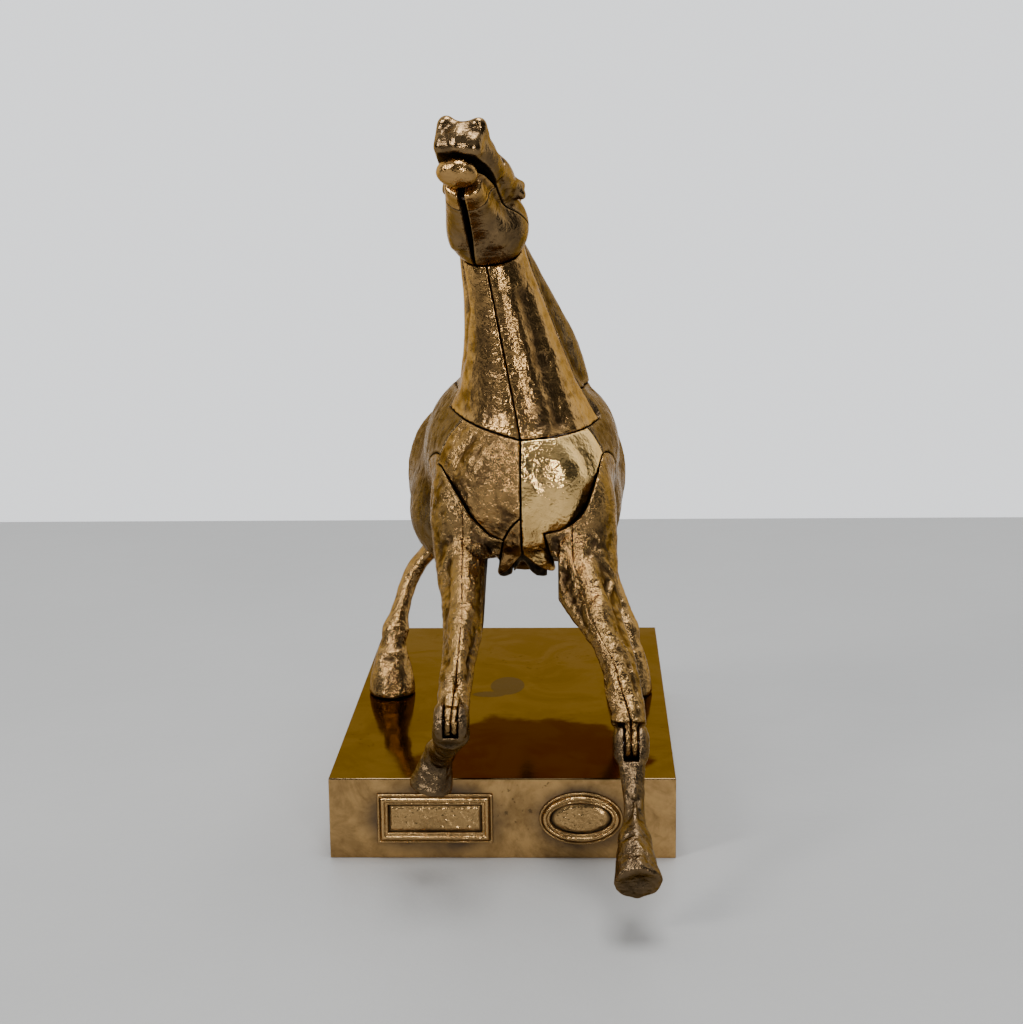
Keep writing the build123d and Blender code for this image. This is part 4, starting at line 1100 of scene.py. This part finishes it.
def rect_loop(t, u):
    half_w, half_h = RECT_HALF[0] - u, RECT_HALF[1] - u
    side, s = int(t * 4) % 4, t * 4 % 1
    corners = ((-half_w, -half_h), (half_w, -half_h), (half_w, half_h), (-half_w, half_h))
    a, b = corners[side], corners[(side + 1) % 4]
    return RECT_AT[0] + a[0] + (b[0] - a[0]) * s, RECT_AT[1] + a[1] + (b[1] - a[1]) * s


def oval_loop(t, u):
    a = 2 * math.pi * t
    return OVAL_AT[0] + (OVAL_HALF[0] - u) * math.cos(a), OVAL_AT[1] + (OVAL_HALF[1] - u) * math.sin(a)


def panel(name, node, shape, half, centre):
    """A hammered panel, raised in the middle, inside a frame."""
    half_w, half_h = half
    nx, nz = int(half_w * 5), int(half_h * 5)
    xs, zs = np.linspace(-1, 1, nx), np.linspace(-1, 1, nz)
    rng = np.random.default_rng(5)
    rough = rng.standard_normal((nx, nz))
    for _ in range(4):
        rough = (rough + np.roll(rough, 1, 0) + np.roll(rough, -1, 0) + np.roll(rough, 1, 1) + np.roll(rough, -1, 1))
        rough /= 5
    rough /= rough.std()
    px, pz = np.meshgrid(xs, zs, indexing="ij")
    if shape == "oval":
        ex, ez = px * np.sqrt(1 - pz ** 2 / 2), pz * np.sqrt(1 - px ** 2 / 2)
        edge = (1 - np.sqrt(ex ** 2 + ez ** 2)) * half_h
    else:
        ex, ez = px, pz
        edge = np.minimum((1 - np.abs(px)) * half_w, (1 - np.abs(pz)) * half_h)
    rise = 0.35 + 0.75 * np.clip((edge - 0.8) / 1.6, 0, 1) ** 0.7 + 0.10 * rough * np.clip(edge / 3, 0, 1)
    points = np.stack([centre[0] + ex * half_w, -BASE_D / 2 - rise, centre[1] + ez * half_h], -1).reshape(-1, 3)
    idx = np.arange(nx * nz).reshape(nx, nz)
    quads = np.stack([idx[:-1, :-1], idx[1:, :-1], idx[1:, 1:], idx[:-1, 1:]], -1).reshape(-1, 4)
    obj = mesh_object(name, points, quads, MATERIALS["moulding"])
    store(obj, (rise - 0.9) * 0.25, np.clip(edge * 0.35, 0, 3))
    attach(obj, "stand")
    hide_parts(node)


moulding("rect_moulding", "plaque_frame_rectangular", rect_loop, 160)
moulding("oval_moulding", "plaque_frame_oval", oval_loop, 144)
panel("rect_panel", "plaque_rectangular", "rect", RECT_PANEL_HALF, RECT_AT)
panel("oval_panel", "plaque_oval", "oval", OVAL_PANEL_HALF, OVAL_AT)

# ---- CAD pieces that stay get their finish
record_slots = {s["node"]: s["material_slot"] for s in frame["record"]["subparts"]}
for node, obj in frame["nodes"].items():
    slot_name = record_slots[node]
    obj.data.materials.clear()
    obj.data.materials.append(MATERIALS[slot_name if slot_name in MATERIALS else "aged_bronze"])

# ---- stage, lights and camera
FLOOR_HALF, FLOOR_END = 4000.0, 800.0  # beyond its end the floor meets the bright background


def floor_plane(colour, dark, rough):
    mesh = bpy.data.meshes.new("floor")
    corners = (
        (-FLOOR_HALF, -FLOOR_HALF), (FLOOR_HALF, -FLOOR_HALF), (FLOOR_HALF, FLOOR_END), (-FLOOR_HALF, FLOOR_END),
    )
    mesh.from_pydata([Vector((x, y, -0.2)) * 0.001 for x, y in corners], [], [(0, 1, 2, 3)])
    obj = bpy.data.objects.new("floor", mesh)
    bpy.context.scene.collection.objects.link(obj)
    mat, k, bsdf = node_material("floor")
    cloudy = k.mix(k.ramp(k.noise(2.2, 5, 0.6), 0.3, 0.7), colour, dark)
    k.dress(bsdf, cloudy, 0.0, rough, k.bump(k.noise(26, 5, 0.65), 0.25, 0.004))
    mesh.materials.append(mat)


floor_plane((0.345, 0.345, 0.340), (0.325, 0.325, 0.320), 0.55)


def area(name, place, target, size, power, colour=(1, 1, 1), size_y=None):
    light = bpy.data.lights.new(name, "AREA")
    light.shape = "RECTANGLE"
    light.size, light.size_y = size, size_y or size
    light.energy = power
    light.color = colour
    obj = bpy.data.objects.new(name, light)
    obj.location = Vector(place)
    obj.rotation_euler = (Vector(target) - Vector(place)).to_track_quat("-Z", "Y").to_euler()
    bpy.context.scene.collection.objects.link(obj)


area("window", (-1.5, -1.4, 1.4), (0, 0, 0.2), 0.45, 34, (1.0, 0.98, 0.95), 0.9)
area("ceiling", (0.2, -0.1, 2.6), (0, -0.1, 0), 1.2, 66)
area("lamp", (0.85, -2.5, 0.80), (0, 0, 0.2), 0.34, 19, (1.0, 0.97, 0.92))
world = bpy.data.worlds.new("room")
world.use_nodes = True
# a dim room, brighter overhead, with the pale wall of the photo behind the object
w = Nodes(world.node_tree, "Generated")
room = w.ramp(w.place("Z"), 0.15, 0.90, 0.03, 0.34)
background = world.node_tree.nodes["Background"]
w.link(w.ramp(w.place("Y"), 0.05, 0.40, room, 1.45), background.inputs["Strength"])
w.link((0.95, 0.97, 1.0, 1), background.inputs["Color"])
bpy.context.scene.world = world

# the camera, as worked out from the plinth's corners
YAW, PITCH, ROLL = (math.radians(a) for a in (-2.14, 11.42, -0.70))
CAMERA_AT = Vector((0.0484, -1.2634, 0.425))
forward = Vector((math.sin(YAW) * math.cos(PITCH), math.cos(YAW) * math.cos(PITCH), -math.sin(PITCH)))
right = Vector((math.cos(YAW), -math.sin(YAW), 0))
up = right.cross(forward)
right2 = right * math.cos(ROLL) + up * math.sin(ROLL)
up2 = up * math.cos(ROLL) - right * math.sin(ROLL)
cam_data = bpy.data.cameras.new("camera")
cam_data.lens, cam_data.sensor_width = 70.3, 36.0
cam_data.clip_end = 50
camera = bpy.data.objects.new("camera", cam_data)
camera.matrix_world = Matrix.Translation(CAMERA_AT) @ Matrix((right2, up2, -forward)).transposed().to_4x4()
bpy.context.scene.collection.objects.link(camera)
bpy.context.scene.camera = camera
